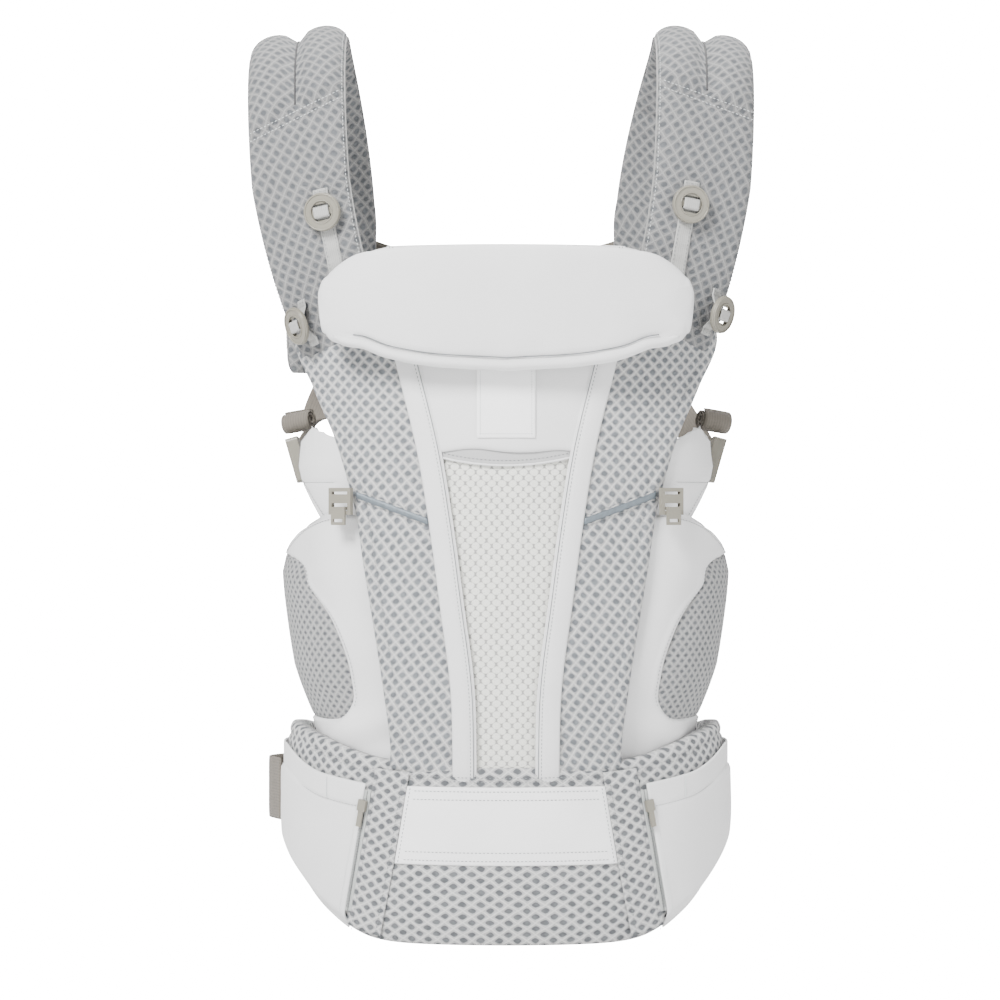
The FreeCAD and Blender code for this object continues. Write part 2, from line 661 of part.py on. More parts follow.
def make_head_support():
    """The fold-down head support: foam in a cloth cover, hung from the panel's top."""
    half, top = size("pillow_half_width"), size("pillow_top")
    drop = size("pillow_drop")

    def outline(inset):
        """Inward by inset from these (distance in from the side, share of the drop) pairs."""
        crown = [(7, 0.71), (1, 0.56), (0, 0.38), (8, 0.23), (24, 0.10), (52, 0.035)]
        hem = [(7, 0.71), (18, 0.78), (38, 0.82), (54, 0.89), (74, 0.935)]
        height = drop - 2 * inset

        def half_run(pairs):
            return [(-half + inset + across, top - inset - height * share)
                    for across, share in pairs]
        left, low = half_run(crown), half_run(hem)
        upper = left + [(0, top - inset)] + [(-x, z) for x, z in left[::-1]]
        lower = [(-x, z) for x, z in low] + [(0, top - drop + inset)] + low[::-1]
        return front_prism([upper, lower])

    back = size("mesh_ply") + size("trim_ply") + 3
    rim, gap = size("cover_ply"), size("foam_gap")
    thick, radius = size("pillow_thickness"), size("pillow_radius")
    shell = front_ply(back, thick, radius).common(outline(0))
    hollow = front_ply(back + rim, thick - 2 * rim, radius).common(outline(rim + 2))
    add_soft("head_support_cover", shell.cut(hollow))
    foam = front_ply(back + rim + gap, thick - 2 * (rim + gap), radius)
    add_soft("head_support_foam", foam.common(outline(rim + 2 + gap)))


def make_straps():
    """Padded shoulder straps: a mesh cover over a foam core."""
    width, thick = size("strap_width"), size("strap_thickness")
    rim, gap = size("cover_ply"), size("foam_gap")
    outers = {}
    for name, side in SIDES.items():
        outers[side] = strap_loft(side, width, thick)
        hollow = strap_loft(side, width - 2 * rim, thick - 2 * rim, 0.02, 0.99)
        add_soft(f"strap_cover_{name}", outers[side].cut(hollow))
        add_soft(f"strap_foam_{name}", strap_loft(side, width - 2 * (rim + gap),
                                                  thick - 2 * (rim + gap), 0.025, 0.985))
    return outers


def strap_spot(s, side, inward_shift, turn):
    """A placement on the strap's outer face, turned outwards about the strap's course: local Z is
    outward and local Y runs up the strap."""
    middle, inward, outward, course = strap_station(s, side)
    spot = middle + inward * inward_shift + outward * (size("strap_thickness") / 2)
    twist = Rotation(course, side * turn)
    return facing(spot, twist.multVec(inward) * -side, course)


def make_buttons(straps):
    """Two buttons on each strap, each on a tape that is sewn to the strap below and above."""
    half = size("button_aperture") / 2
    ply = size("tape_ply")
    slot = half - (size("button_aperture") - size("button_bar")) / 4

    def loop(lift, tail):
        """Off the strap, up through one slot, over the bar and down through the other."""
        over = lift + size("button_thickness") / 2 + 0.9
        climb = [(-slot - 9, 1.2), (-slot, lift - 4), (-slot, over - 0.8), (-slot + 1.4, over)]
        return [(-slot - tail, 1.2)] + climb + [(-y, z) for y, z in climb[::-1]] + [(slot + 14, 1.2)]

    spots = {("upper", LEFT): (0.222, 19, 0, 0, 62), ("upper", RIGHT): (0.238, 12, 0, 0, 62),
             ("lower", LEFT): (0.066, -18, 30, 4.5, 14),
             ("lower", RIGHT): (0.086, -26, 30, 4.5, 14)}
    tapes = []
    for (level, side), (s, shift, turn, stand, tail) in spots.items():
        spot = strap_spot(s, side, shift, turn)
        lift = size("button_standoff") + stand
        face = Placement(spot.multVec(Vector(0, 0, lift)), spot.Rotation)
        make_button(f"button_{level}_{'left' if side == LEFT else 'right'}", face)
        tape = ribbon(loop(lift, tail), ply, size("tape_width"), spot)
        tapes += tape.cut(straps[side]).Solids
    add_soft("button_tapes", Part.makeCompound(tapes))


def make_wings(belt):
    """Side wings in smooth cloth, leg wings below them and the mesh pads on their edges."""
    upper_raw = wing_band(88, size("wing_half_width"), -30, size("wing_ply"),
                          [(315, 0.93), (345, 0.96), (375, 1.0), (415, 0.97)])
    wing_outline = front_prism([
        [(-80, 325), (-140, 325)],
        [(-140, 325), (-157, 352), (-169, 378), (-166, 392), (-153, size("wing_top"))],
        [(-153, size("wing_top")), (-80, 375)], [(-80, 375), (-80, 325)]])
    leg_raw = wing_band(92, size("leg_half_width"), -8, size("leg_ply"),
                        [(130, 0.80), (165, 0.86), (215, 0.94), (290, 1.0), (345, 0.97)],
                        end=104.0)
    top = size("leg_top")
    leg_outline = prism([
        [(-80, size("leg_bottom")), (-150, size("leg_bottom"))],
        [(-150, size("leg_bottom")), (-190, 200)], [(-190, 200), (-190, 286)],
        [(-190, 286), (-178, 304), (-169, 316), (-157, 326), (-142, 332), (-126, top)],
        [(-126, top), (-80, top)], [(-80, top), (-80, size("leg_bottom"))]],
        lambda x, z: Vector(x, -200, z), Vector(0, 300, 0))
    leg = leg_raw.common(leg_outline).cut(belt)
    upper = upper_raw.common(wing_outline).cut(leg)
    upper = max(upper.Solids, key=lambda solid: solid.Volume)
    pad_outline = prism([
        [(-186, 308), (-172, 303), (-156, 279), (-141, 260), (-130, 237), (-122, 208),
         (-122, 184), (-128, 175)],
        [(-128, 175), (-150, 172)], [(-150, 172), (-200, 172)], [(-200, 172), (-200, 308)],
        [(-200, 308), (-186, 308)]],
        lambda x, z: Vector(x, -200, z), Vector(0, 300, 0))
    wing, thigh_pad = leg.cut(pad_outline), leg.common(pad_outline)
    wing = max(wing.Solids, key=lambda solid: solid.Volume)
    thigh_pad = max(thigh_pad.Solids, key=lambda solid: solid.Volume)
    for name, side in SIDES.items():
        add_soft(f"upper_wing_{name}", mirrored(upper, side))
        add_soft(f"leg_wing_{name}", mirrored(wing, side))
        add_soft(f"leg_pad_{name}", mirrored(thigh_pad, side))


def make_clips():
    """The small plate and hook that hold each leg wing up to the side wing."""
    for name, side in SIDES.items():
        face = Rotation(Vector(0, 0, 1), 33 * side) * Rotation(Vector(1, 0, 0), 90)
        frame = Placement(Vector(side * 129, -119.5, 347), face)
        make_clip_frame(f"clip_frame_{name}", frame)
        bar = frame.multVec(Vector(0, (size("clip_bar") - size("clip_height")) / 2, 0))
        make_clip_hook(f"clip_hook_{name}", Placement(bar, face))


def make_side_buckles():
    """At the tip of each side wing: a release buckle, the strap's webbing and its rolled tail."""
    web, ply = size("side_web"), size("web_ply")
    lean = 16
    mouth = Vector(size("wing_half_width") + 4, 5, 381)
    for name, side in SIDES.items():
        upright = Rotation(Vector(0, 1, 0), Vector(0, 0, 1), Vector(1, 0, 0), "XYZ")
        turn = Rotation(Vector(0, 1, 0), side * lean) * upright
        spot = Placement(Vector(side * mouth.x, mouth.y, mouth.z), turn)
        make_housing(f"side_buckle_housing_{name}", "side_web", spot)
        make_plug(f"side_buckle_plug_{name}", "side_web", spot, with_prongs=True)
        middle, inward, _, course = strap_station(1.0, side)
        start = spot.multVec(Vector(28, 0, 0))
        tape = twisted_tape(start, turn.multVec(Vector(0, 1, 0)), middle + course * 9,
                            inward * -side, web, ply)
        add_soft(f"shoulder_webbing_{name}", tape)
        centre = spot.multVec(Vector(-11, 0, 0))
        axis = Vector(side * -0.9, -0.4, 0.15).normalize()
        radius = size("roll_radius")
        centre.z += web / 2 + size("buckle_margin") / 2 + radius + 3
        roll = Part.makeCylinder(radius, web, centre - axis * (web / 2), axis)
        add_soft(f"webbing_roll_{name}", roll)


def make_waist_closure():
    """The belt's webbing and its three-point release buckle at the wearer's back."""
    web, ply = size("waist_web"), size("web_ply")
    a, b = size("waist_half_width"), size("waist_half_depth")
    cover = size("belt_foam") / 2 + size("foam_gap") + size("cover_ply")
    stand = cover + 4

    def path(start, bulge):
        """Round the oval from start degrees, standing off by a bulge just past its side."""
        points = []
        for k in range(7):
            degrees = start + (152 - start) * k / 6
            t = math.radians(degrees)
            grow = stand + bulge * math.exp(-((degrees - 103) / 9) ** 2)
            points.append(((a + grow) * math.sin(t), -(b + grow) * math.cos(t)))
        return points

    back = b + stand
    middle = (size("belt_end_bottom") + size("belt_end_top")) / 2
    low, high = middle - web / 2, middle + web / 2
    socket_end = web / 2 + 18.2
    left = [(-px, py) for px, py in path(90, 17)]
    left += [(-socket_end - 18.8, back + 0.5), (-socket_end, back + 1)]
    right = path(104, 0) + [(62, back + 0.5), (20.8, back + 1)]
    add_soft("belt_webbing_left", plan_band(left, ply, low, high))
    add_soft("belt_webbing_right", plan_band(right, ply, low, high))
    flat = Rotation(Vector(1, 0, 0), Vector(0, 0, 1), Vector(0, -1, 0), "XYZ")
    spot = Placement(Vector(0, back + 1, middle), flat)
    housing = make_housing("waist_buckle_housing", "waist_web", spot)
    hole = sketch_on(housing, at=("-Sizes.waist_web * 0.28", "0", "-Sizes.buckle_thickness / 2"))
    cut(housing, draw_circle(hole, "5.4"), "Sizes.buckle_thickness")
    make_plug("waist_buckle_plug", "waist_web", spot, with_prongs=False)
    make_prong("waist_prong_lower", "waist_web", spot, "-")
    make_prong("waist_prong_upper", "waist_web", spot, "")
    button = new_body("waist_buckle_button", spot)
    disc = sketch_on(button, at=("-Sizes.waist_web * 0.28", "0",
                                 "-Sizes.buckle_thickness / 2 + 0.2"))
    pad(button, draw_circle(disc, "5"), "2.6")


def make_chest_strap():
    """The strap across the shoulder straps behind the neck, with its own release buckle."""
    web, ply = size("chest_web"), size("web_ply")
    level, drop = size("chest_height"), size("chest_sag")
    s_at_level = 0.68 + 0.32 * (size("shoulder_centre") - level) / (
        size("shoulder_centre") - size("strap_end"))
    places = {}
    for side in (LEFT, RIGHT):
        middle, inward, outward, _ = strap_station(s_at_level, side)
        spot = middle + inward * 26 + outward * (size("strap_thickness") / 2 + 5.2)
        places[side] = facing(spot, inward * side, Vector(0, 0, 1))
    make_chest_sliders("chest_sliders", list(places.values()))
    half = web / 2
    tip_y = places[LEFT].Base.y + 3.4

    def ribbon_to(side, end):
        tip_x = abs(places[side].Base.x) - 14
        upper = [(tip_x, level + half), ((tip_x + end) / 2, level + half - 0.72 * drop),
                 (end, level + half - drop)]
        lower = [(x, z - web) for x, z in upper][::-1]
        return prism([upper, [upper[-1], lower[0]], lower, [lower[-1], upper[0]]],
                     lambda x, z: Vector(side * x, tip_y, z), Vector(0, ply, 0))

    centre_x = (places[LEFT].Base.x + places[RIGHT].Base.x) / 2
    add_soft("chest_webbing_left", ribbon_to(LEFT, 28.4 - centre_x))
    add_soft("chest_webbing_right", ribbon_to(RIGHT, 20.8 + centre_x))
    flat = Rotation(Vector(1, 0, 0), Vector(0, 0, 1), Vector(0, -1, 0), "XYZ")
    spot = Placement(Vector(centre_x, tip_y + ply / 2, level - drop), flat)
    make_housing("chest_buckle_housing", "chest_web", spot)
    make_plug("chest_buckle_plug", "chest_web", spot, with_prongs=True)


def main():
    belt = make_belt()
    make_pockets()
    straps = make_straps()
    make_panel(belt, straps)
    make_head_support()
    make_buttons(straps)
    make_wings(belt)
    make_clips()
    make_side_buckles()
    make_waist_closure()
    make_chest_strap()
    doc.recompute()
    failed = [o.Label for o in doc.Objects if {"Invalid", "Error"} & set(o.State)]
    bad = [n.Label for n in nodes if n.Shape.isNull() or not n.Shape.isValid()
           or n.Shape.Volume <= 0]
    if failed or bad:
        raise SystemExit(f"failed objects {failed}, bad shapes {bad}")
    os.makedirs("parts", exist_ok=True)
    for node in nodes:
        node.Shape.exportStep(os.path.join("parts", node.Label + ".step"))
    print(len(nodes), "nodes")


main()
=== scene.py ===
"""A soft baby carrier: cloth, mesh, padding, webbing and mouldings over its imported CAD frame.

Sizes are in millimetres here and become metres when a mesh is made. Side is -1 on the left and
1 on the right.
"""

import json
import math

import bmesh
import bpy
import numpy as np
from mathutils import Vector
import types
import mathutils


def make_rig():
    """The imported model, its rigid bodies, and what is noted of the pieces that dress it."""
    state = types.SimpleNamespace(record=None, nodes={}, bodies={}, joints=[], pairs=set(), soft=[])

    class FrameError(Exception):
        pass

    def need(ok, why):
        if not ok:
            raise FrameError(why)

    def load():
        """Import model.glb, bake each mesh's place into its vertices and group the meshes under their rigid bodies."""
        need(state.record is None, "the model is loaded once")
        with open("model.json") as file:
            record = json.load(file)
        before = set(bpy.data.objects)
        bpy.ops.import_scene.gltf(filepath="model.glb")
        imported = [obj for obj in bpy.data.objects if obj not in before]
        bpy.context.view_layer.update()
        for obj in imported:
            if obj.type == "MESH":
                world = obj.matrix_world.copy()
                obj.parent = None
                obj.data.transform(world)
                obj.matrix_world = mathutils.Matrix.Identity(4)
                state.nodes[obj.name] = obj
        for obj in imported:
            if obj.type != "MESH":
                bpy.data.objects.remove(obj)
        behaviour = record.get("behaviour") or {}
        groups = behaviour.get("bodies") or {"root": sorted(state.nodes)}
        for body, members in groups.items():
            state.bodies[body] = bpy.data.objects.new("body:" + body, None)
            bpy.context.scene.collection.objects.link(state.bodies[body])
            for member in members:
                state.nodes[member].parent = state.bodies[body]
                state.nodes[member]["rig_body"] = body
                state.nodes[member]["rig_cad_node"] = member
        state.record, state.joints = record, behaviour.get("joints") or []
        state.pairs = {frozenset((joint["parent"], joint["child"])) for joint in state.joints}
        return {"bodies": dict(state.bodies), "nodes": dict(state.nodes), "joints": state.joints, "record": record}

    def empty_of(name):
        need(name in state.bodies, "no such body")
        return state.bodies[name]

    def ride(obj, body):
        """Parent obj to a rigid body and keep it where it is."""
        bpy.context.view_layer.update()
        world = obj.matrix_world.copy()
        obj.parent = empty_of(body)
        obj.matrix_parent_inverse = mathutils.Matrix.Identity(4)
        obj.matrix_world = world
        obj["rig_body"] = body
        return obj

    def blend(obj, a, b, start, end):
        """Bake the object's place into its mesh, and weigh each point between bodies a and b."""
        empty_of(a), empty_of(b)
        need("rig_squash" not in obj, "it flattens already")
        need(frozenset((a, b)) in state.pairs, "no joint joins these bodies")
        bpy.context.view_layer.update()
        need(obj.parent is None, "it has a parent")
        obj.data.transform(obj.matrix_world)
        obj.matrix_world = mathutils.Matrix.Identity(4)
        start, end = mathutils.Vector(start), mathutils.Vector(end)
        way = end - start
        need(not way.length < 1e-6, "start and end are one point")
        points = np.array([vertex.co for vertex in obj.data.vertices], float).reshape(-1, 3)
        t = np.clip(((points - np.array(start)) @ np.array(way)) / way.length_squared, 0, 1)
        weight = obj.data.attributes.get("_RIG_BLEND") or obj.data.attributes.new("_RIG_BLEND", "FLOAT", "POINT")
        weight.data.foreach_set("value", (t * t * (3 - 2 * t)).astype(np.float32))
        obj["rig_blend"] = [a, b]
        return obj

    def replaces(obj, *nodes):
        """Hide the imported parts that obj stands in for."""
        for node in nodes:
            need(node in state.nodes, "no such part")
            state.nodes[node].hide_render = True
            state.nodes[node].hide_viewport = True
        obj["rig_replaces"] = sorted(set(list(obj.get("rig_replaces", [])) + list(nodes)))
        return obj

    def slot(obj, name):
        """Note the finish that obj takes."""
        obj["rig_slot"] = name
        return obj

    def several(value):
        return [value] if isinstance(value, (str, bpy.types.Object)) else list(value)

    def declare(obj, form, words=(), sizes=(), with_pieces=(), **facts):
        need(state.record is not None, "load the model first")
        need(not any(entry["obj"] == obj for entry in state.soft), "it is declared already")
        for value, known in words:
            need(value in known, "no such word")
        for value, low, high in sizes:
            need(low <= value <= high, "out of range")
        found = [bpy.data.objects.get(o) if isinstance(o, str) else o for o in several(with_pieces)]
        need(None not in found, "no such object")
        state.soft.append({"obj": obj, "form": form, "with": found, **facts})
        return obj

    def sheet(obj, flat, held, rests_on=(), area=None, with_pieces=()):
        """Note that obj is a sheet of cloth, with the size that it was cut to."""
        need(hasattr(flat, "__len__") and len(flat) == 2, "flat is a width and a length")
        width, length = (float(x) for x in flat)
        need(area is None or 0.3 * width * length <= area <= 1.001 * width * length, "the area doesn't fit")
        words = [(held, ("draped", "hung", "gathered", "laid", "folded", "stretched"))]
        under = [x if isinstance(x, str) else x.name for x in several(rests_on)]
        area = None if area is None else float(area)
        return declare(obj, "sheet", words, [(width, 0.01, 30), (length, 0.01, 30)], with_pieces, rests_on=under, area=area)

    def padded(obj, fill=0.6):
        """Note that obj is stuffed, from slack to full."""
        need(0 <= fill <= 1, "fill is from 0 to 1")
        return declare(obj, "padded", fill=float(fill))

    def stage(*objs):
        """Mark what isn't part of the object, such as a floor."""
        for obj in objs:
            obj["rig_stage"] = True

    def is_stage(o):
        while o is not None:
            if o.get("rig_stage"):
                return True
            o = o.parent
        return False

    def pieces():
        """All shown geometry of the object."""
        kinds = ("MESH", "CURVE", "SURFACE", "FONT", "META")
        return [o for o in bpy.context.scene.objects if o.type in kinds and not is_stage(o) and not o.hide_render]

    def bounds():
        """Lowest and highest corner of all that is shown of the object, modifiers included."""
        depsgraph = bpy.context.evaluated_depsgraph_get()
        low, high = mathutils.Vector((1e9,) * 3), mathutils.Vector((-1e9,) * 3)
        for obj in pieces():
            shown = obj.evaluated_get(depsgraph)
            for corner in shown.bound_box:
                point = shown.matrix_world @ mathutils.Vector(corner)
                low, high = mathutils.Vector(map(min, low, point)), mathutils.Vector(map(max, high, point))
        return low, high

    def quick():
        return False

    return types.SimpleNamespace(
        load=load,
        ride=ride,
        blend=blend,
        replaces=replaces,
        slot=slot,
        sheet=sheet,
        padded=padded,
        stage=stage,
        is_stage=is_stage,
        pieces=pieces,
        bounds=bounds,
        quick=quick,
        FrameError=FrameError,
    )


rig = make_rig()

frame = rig.load()
cad_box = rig.bounds()
NODES = frame["nodes"]
SIDES = {"left": -1, "right": 1}
CLOTH_MAP = "cloth"
MAP_UNIT = 100.0  # millimetres of cloth to one unit of its own map

# ------------------------------------------------------------------------------ shader maths


class Level:
    """A number that varies over a surface; sums on it add Math nodes."""

    def __init__(self, finish, socket):
        self.finish, self.socket = finish, socket

    def _math(self, operation, *values):
        return self.finish.node("ShaderNodeMath", {"operation": operation}, *values)

    def __add__(self, other):
        return self._math("ADD", self, other)

    def __sub__(self, other):
        return self._math("SUBTRACT", self, other)

    def __rsub__(self, other):
        return self._math("SUBTRACT", other, self)

    def __mul__(self, other):
        return self._math("MULTIPLY", self, other)

    def __truediv__(self, other):
        return self._math("DIVIDE", self, other)

    def __pow__(self, other):
        return self._math("POWER", self, other)

    def __abs__(self):
        return self._math("ABSOLUTE", self)

    def __round__(self):
        return self._math("ROUND", self)

    __radd__, __rmul__ = __add__, __mul__

    def sine(self):
        return self._math("SINE", self)


STUDIO_LIGHT = 3.2  # what a white surface sends back in this light
TONES = ((0, 32, 58, 87, 124, 145, 165, 184, 196, 210, 220, 229, 235, 243),
         (0, 0.02, 0.05, 0.1, 0.2, 0.3, 0.45, 0.7, 1.0, 1.5, 2.2, 3.2, 4.5, 6.5))


def shade(red, green, blue):
    """The base colour that shows as this display colour, of 0 to 255, in the studio's light."""
    return tuple(min(0.9, float(np.interp(v, *TONES)) / STUDIO_LIGHT)
                 for v in (red, green, blue)) + (1.0,)


class Finish:
    """One material: its nodes come from node(), and its sums from Level."""

    def __init__(self, name, roughness=0.85, sheen=0.0):
        self.material = bpy.data.materials.new(name)
        self.material.use_nodes = True
        self.tree = self.material.node_tree
        self.tree.nodes.clear()
        self.output = self.tree.nodes.new("ShaderNodeOutputMaterial")
        self.shader = self.tree.nodes.new("ShaderNodeBsdfPrincipled")
        self.shader.inputs["Roughness"].default_value = roughness
        self.shader.inputs["Sheen Weight"].default_value = sheen
        self.tree.links.new(self.shader.outputs[0], self.output.inputs[0])

    def node(self, kind, settings=None, *values, output=0):
        made = self.tree.nodes.new(kind)
        for key, value in (settings or {}).items():
            setattr(made, key, value)
        for socket, value in zip(made.inputs, values):
            self.feed(socket, value)
        return Level(self, made.outputs[output])

    def feed(self, socket, value):
        if isinstance(value, Level):
            self.tree.links.new(value.socket, socket)
        elif value is not None:
            socket.default_value = value

    def mix(self, share, low, high):
        return self.node("ShaderNodeMix", {"data_type": "RGBA"}, share, None, None, None, None,
                         None, low, high, output=2)

    def ease(self, value, low, high):
        """0 below low, 1 above high and smooth between them."""
        return self.node("ShaderNodeMapRange", {"interpolation_type": "SMOOTHSTEP"}, value, low,
                         high, 0.0, 1.0)

    def place(self):
        return self.node("ShaderNodeTexCoord", output=3)

    def map_axes(self):
        """Millimetres across and along the piece's own cloth map."""
        own = self.node("ShaderNodeUVMap", {"uv_map": CLOTH_MAP})
        axes = [self.node("ShaderNodeSeparateXYZ", None, own, output=k) for k in (0, 1)]
        return own, axes[0] * MAP_UNIT, axes[1] * MAP_UNIT

    def noise(self, where, scale, detail=2.0):
        return self.node("ShaderNodeTexNoise", None, where, None, scale, detail)

    def finish(self, colour, height=None, depth=0.0002, strength=1.0, roughness=None):
        self.feed(self.shader.inputs["Base Color"], colour)
        if roughness is not None:
            self.feed(self.shader.inputs["Roughness"], roughness)
        if height is not None:
            bump = self.node("ShaderNodeBump", None, strength, depth)
            self.feed(bump.socket.node.inputs["Height"], height)
            self.feed(self.shader.inputs["Normal"], bump)
        return self.material


def lattice(u, v, pitch, row):
    """Offsets from the nearest of points a pitch apart in rows that are set over by half."""
    first, second = u / pitch - v / (2 * row), u / pitch + v / (2 * row)
    first, second = first - round(first), second - round(second)
    return (first + second) * (pitch / 2), (second - first) * row


def smooth_cloth(name, colour):
    """Plain cloth with a fine grain and a slow change of tone."""
    f = Finish(name, 0.78, 0.12)
    spot = f.place()
    grain = f.noise(spot, 2600.0, 1.0)
    cloud = f.noise(spot, 14.0, 3.0)
    base = shade(*colour)
    dark = tuple(c * 0.88 for c in base[:3]) + (1.0,)
    tone = f.ease(grain * 0.55 + cloud * 0.45, 0.30, 0.72)
    return f.finish(f.mix(tone, dark, base), grain * 0.7 + f.noise(spot, 900.0) * 0.6, 0.00010,
                    0.45, 0.70 + cloud * 0.2)


def open_mesh(name, pitch, row, hole, tones, slant=0.0):
    """Spacer mesh: a darker cell in each diamond between raised diagonal threads."""
    thread, ground, deep = tones
    f = Finish(name, 0.9, 0.1)
    own, u, v = f.map_axes()
    u = u + v * slant + (f.noise(own, 9.0, 1.0) - 0.5) * 2.4
    v = v + (f.noise(own, 13.0, 1.0) - 0.5) * 1.8
    dx, dy = lattice(u, v, pitch, row)
    size = f.noise(own, 26.0, 1.0) * 0.5 + 0.75
    reach = ((abs(dx) / (hole[0] / 2)) ** 1.5 + (abs(dy) / (hole[1] / 2)) ** 1.5) / size
    cell = 1 - f.ease(reach, 0.65, 1.25)
    slope = abs(dx) / (pitch / 2) + abs(dy) / row
    crossing = f.ease(slope, 0.80, 0.98)
    yarn = ((u + v) * 3.6).sine() * ((u - v) * 4.3).sine() * 0.5 + 0.5
    fuzz = f.noise(own, 120.0, 2.0)
    blend = yarn * 0.45 + fuzz * 0.55
    base = f.mix(blend, shade(ground - 20, ground - 20, ground - 19),
                 shade(ground + 14, ground + 14, ground + 14))
    raised = f.mix(crossing * (0.5 + blend * 0.5), base, shade(thread, thread, thread - 1))
    shadow = f.mix(f.ease(f.noise(own, 17.0), 0.35, 0.65), shade(deep - 14, deep - 10, deep - 6),
                   shade(deep + 8, deep + 11, deep + 14))
    height = (1 - cell) * 0.6 + crossing * 0.35 + yarn * 0.12 + fuzz * 0.25
    return f.finish(f.mix(cell, raised, shadow), height, 0.0013, 0.6)


def fine_knit(name):
    """Fine knit whose small scallops are a little lighter than the ground between them."""
    f = Finish(name, 0.88, 0.15)
    own, u, v = f.map_axes()
    u, v = u + (f.noise(own, 12.0) - 0.5) * 1.6, v + (f.noise(own, 16.0) - 0.5) * 1.6
    dx, dy = lattice(u, v, 8.2, 4.4)
    reach = (dx / 3.6) * (dx / 3.6) + (dy / 3.1) * (dy / 3.1)
    cell = 1 - f.ease(reach, 0.55, 1.15)
    ring = f.ease(reach, 0.7, 1.05) * (1 - f.ease(reach, 1.25, 1.75))
    speck = f.noise(own, 110.0, 1.0)
    ground = f.mix(speck, shade(180, 180, 178), shade(206, 206, 204))
    colour = f.mix(cell * (0.35 + speck * 0.6), ground, shade(226, 226, 224))
    colour = f.mix(ring * f.ease(speck, 0.42, 0.62) * 0.6, colour, shade(166, 166, 165))
    return f.finish(colour, cell * 0.6 + speck * 0.35, 0.0006, 0.5)


def ribbed_tape(name, low, high, rib=1.1, wale=2.4):
    """Narrow woven tape: fine ribs across it and a twill along it."""
    f = Finish(name, 0.8, 0.1)
    own, u, v = f.map_axes()
    rows = ((v + abs(((u / wale) - round(u / wale)) * wale)) * (6.283 / rib)).sine() * 0.5 + 0.5
    wales = (u * (6.283 / wale)).sine() * 0.5 + 0.5
    fuzz = f.noise(own, 150.0)
    tone = rows * 0.4 + wales * 0.25 + fuzz * 0.35
    return f.finish(f.mix(tone, shade(*low), shade(*high)), tone, 0.00035, 0.6)


def moulded(name, colour, gloss=0.42):
    """Moulded plastic with a faint spark-eroded grain and slightly worn high spots."""
    f = Finish(name, gloss)
    spot = f.place()
    grain, cloud = f.noise(spot, 1500.0, 3.0), f.noise(spot, 45.0, 3.0)
    base = shade(*colour)
    low = tuple(c * 0.86 for c in base[:3]) + (1.0,)
    return f.finish(f.mix(grain * 0.4 + cloud * 0.6, low, base), grain, 0.00006, 0.35,
                    gloss - 0.08 + cloud * 0.2)


def mirror_tape(name):
    """Reflective piping: a beaded grey film with soft diagonal wear."""
    f = Finish(name, 0.35)
    own, u, v = f.map_axes()
    beads = ((u * 9).sine() * (v * 9).sine()) * 0.5 + 0.5
    wear = f.noise(own, 22.0, 3.0)
    f.feed(f.shader.inputs["Metallic"], 0.35)
    return f.finish(f.mix(wear, shade(138, 147, 153), shade(172, 180, 185)), beads + wear * 0.5,
                    0.00012, 0.5, 0.3 + wear * 0.2)


def sewing_thread(name, colour):
    """Twisted thread, lighter and darker along its fibres."""
    f = Finish(name, 0.7)
    spot = f.place()
    base = shade(*colour)
    dark = tuple(c * 0.7 for c in base[:3]) + (1.0,)
    return f.finish(f.mix(f.noise(spot, 1800.0), dark, base))


SMOOTH = smooth_cloth("smooth_cloth", (221, 221, 221))
LINING = smooth_cloth("lining_cloth", (206, 206, 206))
GORE_MESH = open_mesh("gore_mesh", 10.2, 5.3, (5.4, 5.0), (215, 196, 160), 0.32)
# Greyer than the gore mesh: partly the straps' own tone and partly painted shade, lowered for the shade that the
# straps lie in.
SHADED_STRAP_MESH = open_mesh("strap_mesh", 10.2, 5.3, (5.2, 4.8), (192, 171, 141), 0.25)
BELT_MESH = open_mesh("belt_mesh", 12.5, 4.7, (6.2, 4.6), (216, 199, 146))
PAD_MESH = open_mesh("pad_mesh", 8.0, 4.4, (3.9, 3.2), (204, 184, 146), 0.3)
STRAP_EDGE = smooth_cloth("strap_edge", (192, 192, 191))
KNIT = fine_knit("fine_knit")
HOOK_TAPE = smooth_cloth("hook_tape", (240, 240, 240))
WEBBING = ribbed_tape("taupe_webbing", (134, 129, 120), (172, 167, 157))
TAPE = ribbed_tape("button_tape", (180, 180, 179), (212, 212, 211), 0.9, 1.6)
PLASTIC = moulded("taupe_plastic", (182, 179, 170), 0.36)
REFLECTIVE = mirror_tape("reflective_film")
PALE_THREAD = sewing_thread("pale_thread", (222, 223, 223))
GREY_THREAD = sewing_thread("grey_thread", (176, 179, 181))
# Near-black thread laid in the straps' groove between the lobes: painted shade, not a real thread colour.
PAINTED_GROOVE_SHADE = sewing_thread("seam_groove", (118, 118, 120))
LABEL_CLOTH = ribbed_tape("label_cloth", (232, 233, 234), (243, 243, 243), 0.8, 0.8)
ZIP_CLOTH = ribbed_tape("zip_cloth", (176, 178, 178), (214, 215, 214), 0.9, 1.3)

# ------------------------------------------------------------------------------ mesh helpers


def unit(v):
    """Vectors made one unit long."""
    v = np.asarray(v, float)
    return v / np.maximum(np.linalg.norm(v, axis=-1, keepdims=True), 1e-9)


def wave(points, seed, scale):
    """Smooth values about -1 to 1 over points, the same on every run."""
    pick = np.random.default_rng(seed)
    total = np.zeros(points.shape[:-1])
    for _ in range(5):
        pace = unit(pick.normal(size=3)) * (2 * math.pi / (scale * pick.uniform(0.6, 1.6)))
        total += np.sin(points @ pace + pick.uniform(0, 6.28))
    return total / 2.6


def bell(value, middle, spread):
    """1 at the middle, falling to nothing a few spreads away."""
    return np.exp(-(((value - middle) / spread) ** 2))


def ramp(value, low, high):
    """0 below low, 1 above high and smooth between them."""
    t = np.clip((value - low) / (high - low), 0, 1)
    return t * t * (3 - 2 * t)


